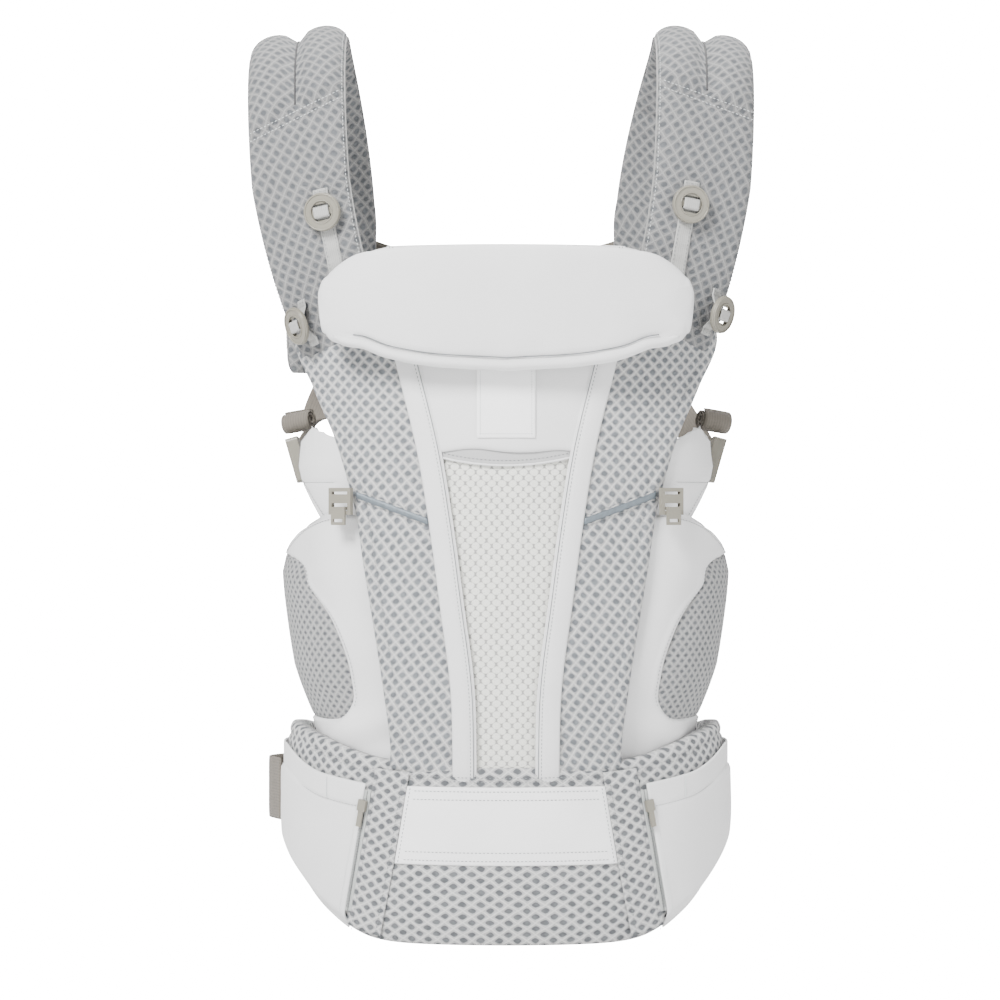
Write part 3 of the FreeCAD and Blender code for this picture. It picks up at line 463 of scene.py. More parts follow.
def smooth_line(knots, values, at):
    """A smooth curve through values at knots, without overshoot between equal neighbours."""
    knots, values = np.asarray(knots, float), np.asarray(values, float)
    at = np.clip(at, knots[0], knots[-1])
    slope = np.gradient(values, knots)
    k = np.clip(np.searchsorted(knots, at) - 1, 0, len(knots) - 2)
    span = knots[k + 1] - knots[k]
    t = (at - knots[k]) / span
    return ((2 * t**3 - 3 * t**2 + 1) * values[k] + (t**3 - 2 * t**2 + t) * span * slope[k]
            + (3 * t**2 - 2 * t**3) * values[k + 1] + (t**3 - t**2) * span * slope[k + 1])


def make(name, points, faces, finish, cloth_map=None):
    """A mesh object at the origin from millimetre points, with its faces turned outwards."""
    mesh = bpy.data.meshes.new(name)
    mesh.from_pydata([tuple(p) for p in np.asarray(points) / 1000], [], faces)
    if cloth_map is not None:
        layer = mesh.uv_layers.new(name=CLOTH_MAP)
        order = np.zeros(len(mesh.loops), dtype=np.int32)
        mesh.loops.foreach_get("vertex_index", order)
        layer.data.foreach_set("uv", (np.asarray(cloth_map)[order] / MAP_UNIT).ravel())
    work = bmesh.new()
    work.from_mesh(mesh)
    bmesh.ops.recalc_face_normals(work, faces=work.faces)
    work.to_mesh(mesh)
    work.free()
    mesh.shade_smooth()
    mesh.materials.append(finish)
    piece = bpy.data.objects.new(name, mesh)
    bpy.context.scene.collection.objects.link(piece)
    return piece


def grid_map(face):
    """Cloth millimetres: across each row from its middle, and along the middle column."""
    steps = np.linalg.norm(np.diff(face, axis=1), axis=2)
    across = np.concatenate([np.zeros((face.shape[0], 1)), np.cumsum(steps, axis=1)], axis=1)
    across -= across[:, face.shape[1] // 2][:, None]
    middle = face[:, face.shape[1] // 2]
    along = np.concatenate([[0], np.cumsum(np.linalg.norm(np.diff(middle, axis=0), axis=1))])
    return np.stack([across, np.repeat(along[:, None], face.shape[1], 1)], axis=2)


def grid_normals(face):
    """Unit normals of a grid of points, turned away from the wearer's centre line."""
    rows, columns = np.gradient(face, axis=0), np.gradient(face, axis=1)
    normal = unit(np.cross(columns, rows))
    return -normal if np.sum(normal * face * [1, 1, 0]) < 0 else normal


def border(rows, columns):
    """The rows and columns round the rim of a grid, in order."""
    loop = [(0, j) for j in range(columns)] + [(i, columns - 1) for i in range(1, rows)]
    loop += [(rows - 1, j) for j in range(columns - 2, -1, -1)]
    return loop + [(i, 0) for i in range(rows - 2, 0, -1)]


def ply(name, face, thick, finish, round_by=0.4, back=None):
    """A closed cloth: a grid of outer points, its back a thickness behind, and a rolled rim."""
    face = np.asarray(face, float)
    rows, columns = face.shape[:2]
    back = face - grid_normals(face) * thick if back is None else back
    loop = border(rows, columns)
    rim = []
    for i, j in loop:
        inner = face[min(max(i, 1), rows - 2), min(max(j, 1), columns - 2)]
        out = unit(face[i, j] - inner) * np.linalg.norm(face[i, j] - back[i, j]) * round_by
        rim.append((face[i, j] + back[i, j]) / 2 + out)
    flat = rows * columns
    points = np.concatenate([face.reshape(-1, 3), back.reshape(-1, 3), np.array(rim)])
    own = grid_map(face).reshape(-1, 2)
    edge = [i * columns + j for i, j in loop]
    cloth_map = np.concatenate([own, own, own[edge]])
    faces = []
    for i in range(rows - 1):
        for j in range(columns - 1):
            a = i * columns + j
            quad = (a, a + 1, a + columns + 1, a + columns)
            faces += [quad, tuple(flat + k for k in quad[::-1])]
    count = len(edge)
    for k in range(count):
        n = (k + 1) % count
        faces.append((edge[k], edge[n], 2 * flat + n, 2 * flat + k))
        faces.append((2 * flat + k, 2 * flat + n, flat + edge[n], flat + edge[k]))
    return make(name, points, faces, finish, cloth_map)


def loft(name, rings, finish, cloth_map):
    """A closed tube through rings of points, its two ends closed by fans."""
    count, around = rings.shape[:2]
    points = list(rings.reshape(-1, 3)) + [rings[0].mean(0), rings[-1].mean(0)]
    own = list(cloth_map.reshape(-1, 2)) + [cloth_map[0].mean(0), cloth_map[-1].mean(0)]
    faces = []
    for i in range(count - 1):
        for j in range(around):
            n = (j + 1) % around
            faces.append((i * around + j, i * around + n, (i + 1) * around + n,
                          (i + 1) * around + j))
    for end, centre in ((0, count * around), ((count - 1) * around, count * around + 1)):
        faces += [(end + j, end + (j + 1) % around, centre) for j in range(around)]
    return make(name, points, faces, finish, np.array(own))


def settle(piece, body, slot, *nodes):
    """Rides the piece on its CAD body and says which soft solids it stands for."""
    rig.ride(piece, body)
    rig.slot(piece, slot)
    if nodes:
        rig.replaces(piece, *nodes)
    return piece


def cut_cloth(piece, face, held="stretched"):
    """Declares a sheet whose cut is the face laid out flat, row by row."""
    across, along = np.diff(face, axis=1), np.diff(face, axis=0)
    area = np.linalg.norm(np.cross(across[:-1], along[:, :-1]), axis=2).sum()
    width = np.linalg.norm(across, axis=2).sum(1).max()
    length = np.linalg.norm(along, axis=2).sum(0).max()
    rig.sheet(piece, (width / 1000, length / 1000), held, area=area / 1e6)


def puff(piece, sewn, pressure, cap):
    """Blows a pad up by cloth simulation, held along its seams, no point moving over cap mm."""
    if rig.quick():
        return
    scene = bpy.context.scene
    held = piece.vertex_groups.new(name="sewn")
    held.add([int(k) for k in sewn], 1.0, "REPLACE")
    cloth = piece.modifiers.new("padding", "CLOTH")
    cloth.settings.quality = 4
    cloth.settings.use_pressure = True
    cloth.settings.uniform_pressure_force = pressure
    cloth.settings.vertex_group_mass = "sewn"
    cloth.settings.effector_weights.gravity = 0
    cloth.settings.tension_stiffness = 8
    cloth.settings.compression_stiffness = 8
    cloth.settings.bending_stiffness = 0.2
    cloth.point_cache.frame_start, cloth.point_cache.frame_end = 1, 14
    rest = np.array([v.co[:] for v in piece.data.vertices])
    for step in range(1, 15):
        scene.frame_set(step)
    seen = piece.evaluated_get(bpy.context.evaluated_depsgraph_get())
    moved = np.array([v.co[:] for v in seen.data.vertices]) - rest
    reach = np.linalg.norm(moved, axis=1, keepdims=True) * 1000
    eased = cap * np.tanh(reach / cap)
    moved *= eased / np.maximum(reach, 1e-6)
    piece.modifiers.remove(cloth)
    piece.vertex_groups.clear()
    scene.frame_set(1)
    piece.data.vertices.foreach_set("co", (rest + moved).ravel())
    piece.data.update()


# ------------------------------------------------------------------------- rows along a seam


def row_tree():
    """Short rounded pieces, such as stitches or zip teeth, set along every line of a mesh."""
    tree = bpy.data.node_groups.new("sewn_row", "GeometryNodeTree")
    face = tree.interface
    face.new_socket("Seam", in_out="INPUT", socket_type="NodeSocketGeometry")
    for label, start in (("Stitch Length", 0.002), ("Pitch", 0.003), ("Thickness", 0.0004)):
        face.new_socket(label, in_out="INPUT", socket_type="NodeSocketFloat").default_value = start
    face.new_socket("Seed", in_out="INPUT", socket_type="NodeSocketInt").default_value = 7
    face.new_socket("Thread", in_out="INPUT", socket_type="NodeSocketMaterial")
    face.new_socket("Row", in_out="OUTPUT", socket_type="NodeSocketGeometry")

    def node(kind, links=None, **settings):
        made = tree.nodes.new(kind)
        for key, value in settings.items():
            setattr(made, key, value)
        for key, value in (links or {}).items():
            if hasattr(value, "is_linked"):
                tree.links.new(value, made.inputs[key])
            else:
                made.inputs[key].default_value = value
        return made

    start = node("NodeGroupInput").outputs
    line = node("GeometryNodeMeshToCurve", {"Mesh": start["Seam"]})
    evened = node("GeometryNodeResampleCurve", {"Curve": line.outputs[0],
                                                "Length": start["Pitch"]}, mode="LENGTH")
    half = node("ShaderNodeMath", {0: start["Stitch Length"], 1: 0.5}, operation="MULTIPLY")
    thin = node("ShaderNodeMath", {0: start["Thickness"], 1: 0.5}, operation="MULTIPLY")
    shape = node("ShaderNodeCombineXYZ", {0: thin.outputs[0], 1: thin.outputs[0],
                                          2: half.outputs[0]})
    course = node("GeometryNodeInputTangent")
    turn = node("FunctionNodeAlignRotationToVector", {"Vector": course.outputs[0]}, axis="Z")
    bead = node("GeometryNodeMeshUVSphere", {"Segments": 6, "Rings": 4, "Radius": 1.0})
    placed = node("GeometryNodeInstanceOnPoints", {
        "Points": evened.outputs[0], "Instance": bead.outputs[0], "Rotation": turn.outputs[0],
        "Scale": shape.outputs[0]})
    spread = node("FunctionNodeRandomValue", {"Min": (-0.05, -0.05, -0.05),
                                              "Max": (0.05, 0.05, 0.05),
                                              "Seed": start["Seed"]}, data_type="FLOAT_VECTOR")
    tilted = node("GeometryNodeRotateInstances", {"Instances": placed.outputs[0],
                                                  "Rotation": spread.outputs[0]})
    real = node("GeometryNodeRealizeInstances", {0: tilted.outputs[0]})
    done = node("GeometryNodeSetMaterial", {"Geometry": real.outputs[0],
                                            "Material": start["Thread"]})
    tree.links.new(done.outputs[0], node("NodeGroupOutput").inputs[0])
    return tree


ROW_TREE = row_tree()
seams = {}


def sew(body, lines, finish=GREY_THREAD, slot="smooth_fabric", length=2.0, pitch=3.1, thick=0.55):
    """Keeps rows of stitches for later; every body gets one mesh of each kind."""
    key = (body, finish.name, slot, length, pitch, thick)
    seams.setdefault(key, []).extend(np.asarray(line, float) for line in lines)


def make_seams():
    """Sets the kept stitches along their lines, one mesh for each kind on a body."""
    for number, (key, lines) in enumerate(sorted(seams.items())):
        body, finish, slot, length, pitch, thick = key
        points, edges = [], []
        for line in lines:
            edges += [(len(points) + k, len(points) + k + 1) for k in range(len(line) - 1)]
            points += [tuple(p / 1000) for p in line]
        mesh = bpy.data.meshes.new("seam_lines")
        mesh.from_pydata(points, edges, [])
        guide = bpy.data.objects.new("seam_lines", mesh)
        bpy.context.scene.collection.objects.link(guide)
        rows = guide.modifiers.new("row", "NODES")
        rows.node_group = ROW_TREE
        sockets = {s.name: s.identifier for s in ROW_TREE.interface.items_tree
                   if s.item_type == "SOCKET" and s.in_out == "INPUT"}
        for label, value in (("Stitch Length", length / 1000), ("Pitch", pitch / 1000),
                             ("Thickness", thick / 1000), ("Seed", 11 + number),
                             ("Thread", bpy.data.materials[finish])):
            rows[sockets[label]] = value
        seen = guide.evaluated_get(bpy.context.evaluated_depsgraph_get())
        baked = bpy.data.meshes.new_from_object(seen)
        guide.modifiers.remove(rows)
        bpy.data.objects.remove(guide)
        baked.shade_smooth()
        if not baked.materials:
            baked.materials.append(bpy.data.materials[finish])
        piece = bpy.data.objects.new(f"stitches_{number:02d}_{body}", baked)
        bpy.context.scene.collection.objects.link(piece)
        settle(piece, body, slot)


# --------------------------------------------------------------------- the carrier's surfaces

PANEL_RADIUS, PILLOW_RADIUS = 250.0, 500.0
WAIST_HALF_WIDTH, WAIST_HALF_DEPTH = 169.0, 118.0
BELT_HALF_THICKNESS = 10.0
TRIM_Z = (120, 150, 195, 270, 330, 385, 455, 500, 544)
TRIM_X = (33, 33, 34, 43, 51, 60, 77, 88, 96)
GORE_Z = (128, 157, 192, 239, 301, 340, 363, 395, 436, 480, 540)
GORE_X = (91, 91, 95, 102, 112, 118, 124, 134, 152, 168, 122)
BELT_LOW = ((-138, -100, -75, -42, 0, 50, 118), (0, 4, 22, 47, 68, 76, 82))
BELT_HIGH = ((-138, -100, -75, -42, 0, 50, 118), (137, 146, 156, 164, 168, 161, 140))
STRAP_X = {-1: (124, 168, 150), 1: (121, 160, 132)}


def panel_line(z):
    """The front panel's depth by height, on the middle line."""
    u = np.clip((np.asarray(z, float) - 130) / 430, 0, 1)
    return -116 - 10 * u - 21 * np.sin(np.pi * u) ** 0.7


def sag(x, radius=PANEL_RADIUS):
    """How far the panel falls back at x, curved to this radius."""
    return radius - np.sqrt(np.maximum(radius**2 - np.asarray(x, float) ** 2, 1))


def on_panel(x, z, stand, radius=PANEL_RADIUS):
    """Points of the panel's outer side, standing off its inner face."""
    x, z, stand = np.broadcast_arrays(np.asarray(x, float), np.asarray(z, float), stand)
    return np.stack([x, panel_line(z) - stand + sag(x, radius), z], axis=-1)


def on_belt(degrees, z, stand):
    """Points round the belt: 0 degrees is its front, and stand is measured off its mid-line."""
    degrees, z, stand = np.broadcast_arrays(np.asarray(degrees, float), z, stand)
    t = np.radians(degrees)
    return np.stack([(WAIST_HALF_WIDTH + stand) * np.sin(t),
                     -(WAIST_HALF_DEPTH + stand) * np.cos(t), z], axis=-1)


def belt_edges(degrees, stand=BELT_HALF_THICKNESS):
    """The heights of the belt's lower and upper edges at an angle."""
    y = -(WAIST_HALF_DEPTH + stand) * np.cos(np.radians(degrees))
    return smooth_line(*BELT_LOW, y), smooth_line(*BELT_HIGH, y)


def belt_angle(x, stand=BELT_HALF_THICKNESS):
    """The angle round the belt that lies x out from the middle."""
    return np.degrees(np.arcsin(np.clip(np.asarray(x) / (WAIST_HALF_WIDTH + stand), -1, 1)))


def zip_edge(z, shift=0.0):
    """How far out the pocket's zip runs, by height."""
    return 111 + 14 * (108 - np.asarray(z, float)) / 82 + shift


def strap_station(s, side):
    """Middle, inward, outward and course of a strap, from 0 at its foot to 1 under the arm."""
    foot, top, end = STRAP_X[side]

    def point(v):
        if v < 0.28:
            y, z = -101, 462 + v / 0.28 * 136
        elif v < 0.68:
            turn = math.pi * (v - 0.28) / 0.4
            y, z = -101 * math.cos(turn), 598 + 121 * math.sin(turn)
        else:
            y, z = 101, 598 - (v - 0.68) / 0.32 * 143
        climb = min(1.0, v / 0.45)
        x = foot + (top - foot) * climb * (2 - climb)
        if v > 0.5:
            fall = min(1.0, (v - 0.5) / 0.22)
            x = top + (end - top) * fall * fall * (3 - 2 * fall)
        return np.array([side * x, y, z])

    course = unit(point(min(1.0, s + 0.01)) - point(max(0.0, s - 0.01)))
    yaw, roll = math.radians(30 * (1 - 2 * s)), math.radians(11 * min(1.0, 2 - 2 * s))
    inward = np.array([-side * math.cos(yaw) * math.cos(roll), -math.sin(yaw), math.sin(roll)])
    inward = unit(inward - course * inward.dot(course))
    return point(s), inward, np.cross(inward, course) * -side, course


def on_strap(s, side, inward_shift, stand):
    """A point across a strap, standing off its mid-plane."""
    middle, inward, outward, _ = strap_station(s, side)
    return middle + inward * inward_shift + outward * stand


# ------------------------------------------------------------------------------ belt and pockets


def make_belt():
    """The padded waist belt in mesh, with a rolled top edge and a sewn line under it."""
    angles = np.linspace(-138, 138, 221)
    around = np.linspace(0, 2 * np.pi, 60, endpoint=False)
    rings, cloth_map = [], []
    run = 0.0
    for degrees in angles:
        low, high = belt_edges(degrees)
        end = math.sqrt(max(0.02, 1 - ((abs(degrees) - 132) / 6.2) ** 2)) if abs(degrees) > 132 else 1
        middle, half = (low + high) / 2, (high - low) / 2 * (0.75 + 0.25 * end)
        up = np.sign(np.cos(around)) * np.abs(np.cos(around)) ** 0.55
        out = np.sign(np.sin(around)) * np.abs(np.sin(around)) ** 0.42
        z = middle + half * up
        below_top = half * (1 - up)
        sewn = 1.6 * bell(below_top, 9.5, 1.6) + 0.9 * bell((half * (1 + up)), 8, 1.6)
        stand = np.sign(out) * np.maximum(np.abs(out) * 9.7 * end - sewn * (np.abs(out) > 0.5), 0.2)
        ring = on_belt(degrees, z, stand)
        rings.append(ring)
        cloth_map.append(np.stack([np.full(60, run), z + 40 * (out < 0)], axis=1))
        run += 276 / 220 * math.pi / 180 * 155
    rings = np.array(rings)
    rings += unit(rings * [1, 1, 0]) * (wave(rings, 3, 70) * 0.35)[..., None]
    piece = loft("belt_padding", rings, BELT_MESH, np.array(cloth_map))
    settle(piece, "carrier", "open_mesh", "belt_cover", "belt_foam")
    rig.padded(piece, fill=0.75)
    for drop in (8.0, 11.0):
        line = [on_belt(d, belt_edges(d)[1] - drop, 9.0) for d in np.linspace(-60, 60, 121)]
        sew("carrier", [line], GREY_THREAD, "open_mesh")


def belt_patch(name, left, right, low, high, stand, thick, finish, rows=40, columns=60, lift=None):
    """A cloth on the belt's outer face between two side lines and two heights."""
    v = np.linspace(0, 1, rows)[:, None]
    u = np.linspace(0, 1, columns)[None, :]
    left_angle, right_angle = left(v), right(v)
    degrees = left_angle + (right_angle - left_angle) * u
    bottom, top = low(degrees), high(degrees)
    z = bottom + (top - bottom) * v
    off = stand + (0 if lift is None else lift(degrees, z, u, v))
    return ply(name, on_belt(degrees, z, off), thick, finish)


def make_hook_strip():
    """The smooth strip across the belt's front, sewn round its edges."""
    def edge(side):
        return lambda v: belt_angle(side * (87 - 10 * v), 11.5)
    piece = belt_patch("hook_strip", edge(-1), edge(1), lambda d: 64 + 0 * d, lambda d: 124 + 0 * d,
                       11.6, 1.3, HOOK_TAPE)
    settle(piece, "carrier", "smooth_fabric", "hook_strip")
    t = np.linspace(0.03, 0.97, 60)
    rows = []
    for z in (67, 73.5, 114.5, 121):
        half = 87 - 10 * (z - 64) / 60 - 3
        rows.append([on_belt(belt_angle(x), z, 11.9) for x in half * (2 * t - 1)])
    for side in (-1, 1):
        rows.append([on_belt(belt_angle(side * (84 - 10 * k)), 64 + 60 * k, 11.9) for k in t])
    sew("carrier", rows, GREY_THREAD)


def make_bands():
    """Mesh bands beside the hook strip, lapped and sewn over the belt."""
    inner_z, inner_x = (6, 64, 124, 143), (99, 88.2, 78.2, 75)
    for name, side in SIDES.items():

        def inner(v, side=side):
            return belt_angle(side * np.interp(6 + 131 * v, inner_z, inner_x), 11)

        def outer(v, side=side):
            return belt_angle(side * zip_edge(6 + 131 * v, -4), 11)
        piece = belt_patch(f"belt_band_{name}", inner, outer,
                           lambda d: belt_edges(d)[0] + 5, lambda d: belt_edges(d)[1] - 7,
                           11.3, 1.1, BELT_MESH, 60, 20)
        settle(piece, "carrier", "open_mesh", *(["belt_bands"] if side < 0 else []))
        heights = np.linspace(10, 128, 60)
        sew("carrier", [[on_belt(belt_angle(side * (np.interp(z, inner_z, inner_x) + 3)), z, 11.6)
                         for z in heights],
                        [on_belt(belt_angle(side * zip_edge(z, -7)), z, 11.6) for z in heights]],
            GREY_THREAD, "open_mesh")


# the height of the pockets' mouth by its distance from the middle
POCKET_MOUTH = ((104, 109, 124, 137, 150, 163, 178), (123.6, 124.4, 126.8, 129, 132, 138.5, 150.5))


def pocket_top(degrees):
    """The height of the pockets' mouth at an angle round the belt."""
    x = np.abs((WAIST_HALF_WIDTH + 12) * np.sin(np.radians(degrees)))
    return np.where(np.abs(degrees) > 90, 151.5, smooth_line(*POCKET_MOUTH, x))


def make_pockets():
    """Two smooth pockets on the belt, each with a banded mouth and a zip."""
    for name, side in SIDES.items():
        inner, outer = belt_angle(side * 112.0, 12), side * 101.0

        def inner_line(v, side=side):
            return belt_angle(side * zip_edge(4 + 119 * v, 2.2), 12)

        def lift(degrees, z, u, v):
            """Full in its middle, turned in at the hem, with a deep folded band at its mouth."""
            height = pocket_top(degrees) - z
            fall = ramp(height, 17.5, 19.5)
            full = (1.4 + 4.2 * ramp(u, 0.25, 0.75)) * np.sin(np.pi * np.clip(u, 0, 1)) ** 0.8
            full = full * np.sin(np.pi * v) ** 0.6
            rumple = 0.8 * wave(on_belt(degrees, z, 12), 12 + side, 60)
            crease = 0.7 * bell(height, 18.5, 1.3)
            low = belt_edges(degrees)[0]
            roll = 8.5 * (1 - ramp(z - low, -3, 16)) ** 1.6
            return (full + rumple * np.minimum(1, v * 6)) * fall * 0.8 + 0.9 * (1 - fall) - crease - roll
        piece = belt_patch(f"pocket_{name}", inner_line, lambda v: outer + 0 * v,
                           lambda d: belt_edges(d)[0] - 2.0, pocket_top, 12.2, 1.8, SMOOTH, 70, 100,
                           lift)
        settle(piece, "carrier", "smooth_fabric", f"pocket_{name}")
        angles = np.linspace(inner + side * 1.5, outer - side * 2, 110)
        rows = [[on_belt(d, pocket_top(d) - 18.6, 12.6) for d in angles]]
        sew("carrier", rows, GREY_THREAD)
        tack = belt_angle(side * 142.0, 13)
        bar = [[on_belt(tack + k * 0.12, pocket_top(tack) - z, 13.7) for z in (1.5, 17)]
               for k in (-1, 0, 1)]
        sew("carrier", bar, PALE_THREAD, length=1.4, pitch=0.9, thick=0.5)
        make_zip(name, side)


def make_zip(name, side):
    """A narrow zip down the pocket's inner edge: two tapes, and teeth between them."""
    heights = np.linspace(24, 120, 60)
    for label, low, high in (("front", -3.0, -0.9), ("back", 0.1, 1.7)):
        face = np.array([[on_belt(belt_angle(side * zip_edge(z, x), 11.5), z, 11.5 + 0.2 * (k % 2))
                          for k, x in enumerate(np.linspace(low, high, 4))] for z in heights])
        piece = ply(f"zip_tape_{label}_{name}", face, 1.0, ZIP_CLOTH)
        settle(piece, "carrier", "zip_tape",
               *(["pocket_zips"] if (side < 0 and label == "front") else []))
    teeth = []
    for k, z in enumerate(np.arange(27, 108, 1.3)):
        shift = -0.75 + 0.35 * (1 if k % 2 else -1)
        teeth.append([on_belt(belt_angle(side * zip_edge(z, shift - 0.6)), z, 11.9),
                      on_belt(belt_angle(side * zip_edge(z, shift + 0.6)), z, 11.9)])
    sew("carrier", teeth, GREY_THREAD, "zip_tape", 1.3, 1.3, 0.8)
    heights = np.linspace(20, 112, 50)
    sew("carrier", [[on_belt(belt_angle(side * zip_edge(z, 4.6)), z, 13.0) for z in heights]],
        PALE_THREAD)


# ------------------------------------------------------------------------------ the front panel


def make_gores():
    """The mesh side panels between the trims and the carrier's edge."""
    rows, columns = 150, 40
    heights = np.linspace(129, 541, rows)[:, None]
    u = np.linspace(0, 1, columns)[None, :]
    inner = smooth_line(TRIM_Z, TRIM_X, heights)
    outer = np.where(heights > 480, np.interp(heights, (480, 505, 525, 541), (168, 160, 142, 118)),
                     smooth_line(GORE_Z, GORE_X, heights))
    for name, side in SIDES.items():
        x = side * (inner + (outer - inner) * u)
        z = heights + 0 * x
        stand = 5.6 + 0.5 * wave(on_panel(x, z, 0), 21 + side, 80)
        stand = stand + 1.1 * np.sin(z / 4.6 + x / 22) * (1 - ramp(z, 150, 178))
        stand = stand - 1.8 * ramp(u, 0.955, 1.0) + 0.8 * bell(outer - np.abs(x), 7, 2.2)
        stand = stand - 1.0 * bell(outer - np.abs(x), 10, 1.2)
        face = on_panel(x, z, stand)
        piece = ply(f"gore_{name}", face, 4.6, GORE_MESH, 0.25)
        settle(piece, "carrier", "open_mesh", f"gore_{name}")
        cut_cloth(piece, face)
        at = np.linspace(140, 478, 130)
        edge = side * (smooth_line(GORE_Z, GORE_X, at) - 9.6)
        sew("carrier", [on_panel(edge, at, 5.4)], GREY_THREAD, "open_mesh", thick=0.45)


def make_centre():
    """The fine knit centre, the smooth pocket over it, its lip and the hood inside it."""
    rows, columns = 110, 50
    u = np.linspace(-1, 1, columns)[None, :]
    heights = np.linspace(121, 544, rows)[:, None]
    x = (smooth_line(TRIM_Z, TRIM_X, heights) - 1.5) * u
    z = heights + 0 * x
    spots = on_panel(x, z, 0)
    stand = 2.3 + 0.5 * wave(spots, 31, 60) * (1 - u**2)
    stand = stand + 0.9 * bell(z, 366, 3.5) * (1 - u**2) + 0.7 * bell(z, 352, 3) * (1 - u**2)
    face = on_panel(x, z, stand)
    knit = ply("centre_panel", face, 2.2, KNIT)
    settle(knit, "carrier", "fine_mesh", "centre_panel")
    cut_cloth(knit, face)

    v = np.linspace(0, 1, 80)[:, None]
    lip = 384.6 + 3.2 * bell(u, -0.45, 0.35) + 2.2 * bell(u, 0.72, 0.28)
    low = lip + 0.0 * v
    z = low + (546 - low) * v
    x = (smooth_line(TRIM_Z, TRIM_X, z) - 3) * u
    full = 1.9 * (1 - u**2) ** 0.6 * (1 - ramp(z, 440, 500) * 0.5)
    curl = 1.6 * (1 - u**4) * (1 - ramp(z - low, 0, 4)) ** 2
    crease = 0.45 * wave(on_panel(x, z, 0), 33, 75)
    stand = 6.0 + full + crease * (1 - u**2) - curl
    face = on_panel(x, z, stand)
    pocket = ply("hood_pocket", face, 1.2, SMOOTH, 0.5)
    settle(pocket, "carrier", "smooth_fabric", "hood_pocket")
    cut_cloth(pocket, face)

    arc = 382.4 - 7.2 * (1 - u**2)
    z = arc + (lip + 2.5 - arc) * np.linspace(0, 1, 10)[:, None]
    x = (smooth_line(TRIM_Z, TRIM_X, z) - 5) * u
    inside = ply("hood_pocket_binding", on_panel(x, z, 4.6), 1.0, LINING, 0.3)
    settle(inside, "carrier", "smooth_fabric")
    at = np.linspace(-0.93, 0.93, 90)
    line = on_panel((smooth_line(TRIM_Z, TRIM_X, 380.0) - 5) * at, 382.4 - 7.2 * (1 - at**2) + 3.2, 4.9)
    sew("carrier", [line], GREY_THREAD)
    rolled_edge("hood_pocket_piping", on_panel((smooth_line(TRIM_Z, TRIM_X, 380.0) - 4) * at / 0.93,
                382.2 - 7.4 * (1 - (at / 0.93) ** 2), 4.6), 0.9, SMOOTH, "smooth_fabric")

    u = np.linspace(-1, 1, 36)[None, :]
    z = np.linspace(396, 470, 40)[:, None] + 0 * u
    x = 41 * u + 0 * z
    stand = 4.4 + 0.5 * wave(on_panel(x, z, 0), 35, 22)
    face = on_panel(x, z, stand)
    hood = ply("stowed_hood", face, 1.4, LINING)
    settle(hood, "carrier", "smooth_fabric", "stowed_hood")
    cut_cloth(hood, face, "folded")


def rolled_edge(name, line, radius, finish, slot, body="carrier", nodes=()):
    """A thin round piping along a line of points."""
    line = np.asarray(line, float)
    course = unit(np.gradient(line, axis=0))
    side = unit(np.cross(course, np.array([0.0, -1.0, 0.2])))
    up = np.cross(side, course)
    turn = np.linspace(0, 2 * np.pi, 8, endpoint=False)
    rings = (line[:, None] + radius * (side[:, None] * np.cos(turn)[None, :, None]
                                       + up[:, None] * np.sin(turn)[None, :, None]))
    run = np.concatenate([[0], np.cumsum(np.linalg.norm(np.diff(line, axis=0), axis=1))])
    cloth_map = np.stack([np.broadcast_to(turn * radius, rings.shape[:2]),
                          np.broadcast_to(run[:, None], rings.shape[:2])], axis=2)
    return settle(loft(name, rings, finish, cloth_map), body, slot, *nodes)


def make_label():
    """The blank sewn label, stitched on three sides."""
    u, v = np.meshgrid(np.linspace(-1, 1, 26), np.linspace(0, 1, 30))
    x, z = 22.4 * u, 396.2 + 53 * v
    stand = 9.3 + 0.35 * wave(on_panel(x, z, 0), 41, 60)
    piece = ply("label_patch", on_panel(x, z, stand), 0.8, LABEL_CLOTH)
    settle(piece, "carrier", "label", "label_patch")
    t = np.linspace(0, 1, 30)
    box = [[(-19.8, 449 - 50 * k) for k in t], [(19.8, 449 - 50 * k) for k in t],
           [(-19.8 + 39.6 * k, 399) for k in t]]
    sew("carrier", [[on_panel(x, z, 9.6) for x, z in row] for row in box], GREY_THREAD, "label",
        1.0, 2.0, 0.4)


def make_trims():
    """Smooth strips over the joins between the centre and the gores, sewn down the edge by the knit."""
    heights = np.linspace(119, 544, 170)
    slope = np.gradient(smooth_line(TRIM_Z, TRIM_X, heights), heights)
    across, half = np.linspace(-1, 1, 14), 8.4
    for name, side in SIDES.items():
        centre = smooth_line(TRIM_Z, TRIM_X, heights)
        lean = np.sqrt(1 + slope**2)
        x = side * (centre[:, None] + half * across[None, :] / lean[:, None])
        z = heights[:, None] - half * across[None, :] * (slope / lean)[:, None]
        crown = 1.4 * (1 - across**2)[None, :] - 0.5 * bell(across, -0.62, 0.1)[None, :]
        piece = ply(f"trim_{name}", on_panel(x, z, 8.0 + crown), 1.7, SMOOTH, 0.5)
        settle(piece, "carrier", "smooth_fabric", *(["trim_strips"] if side < 0 else []))

        def beside(inset, stand, side=side, centre=centre, lean=lean):
            """A line along the strip, inset from its middle towards the knit."""
            return on_panel(side * (centre - inset / lean), heights + inset * slope / lean, stand)
        sew("carrier", [beside(0.64 * half, 8.7)], GREY_THREAD)
        rolled_edge(f"trim_shadow_{name}", beside(7.6, 8.2), 0.4, GREY_THREAD, "smooth_fabric")
        rolled_edge(f"trim_seam_{name}", beside(9.3, 6.5), 0.8, SMOOTH, "smooth_fabric")


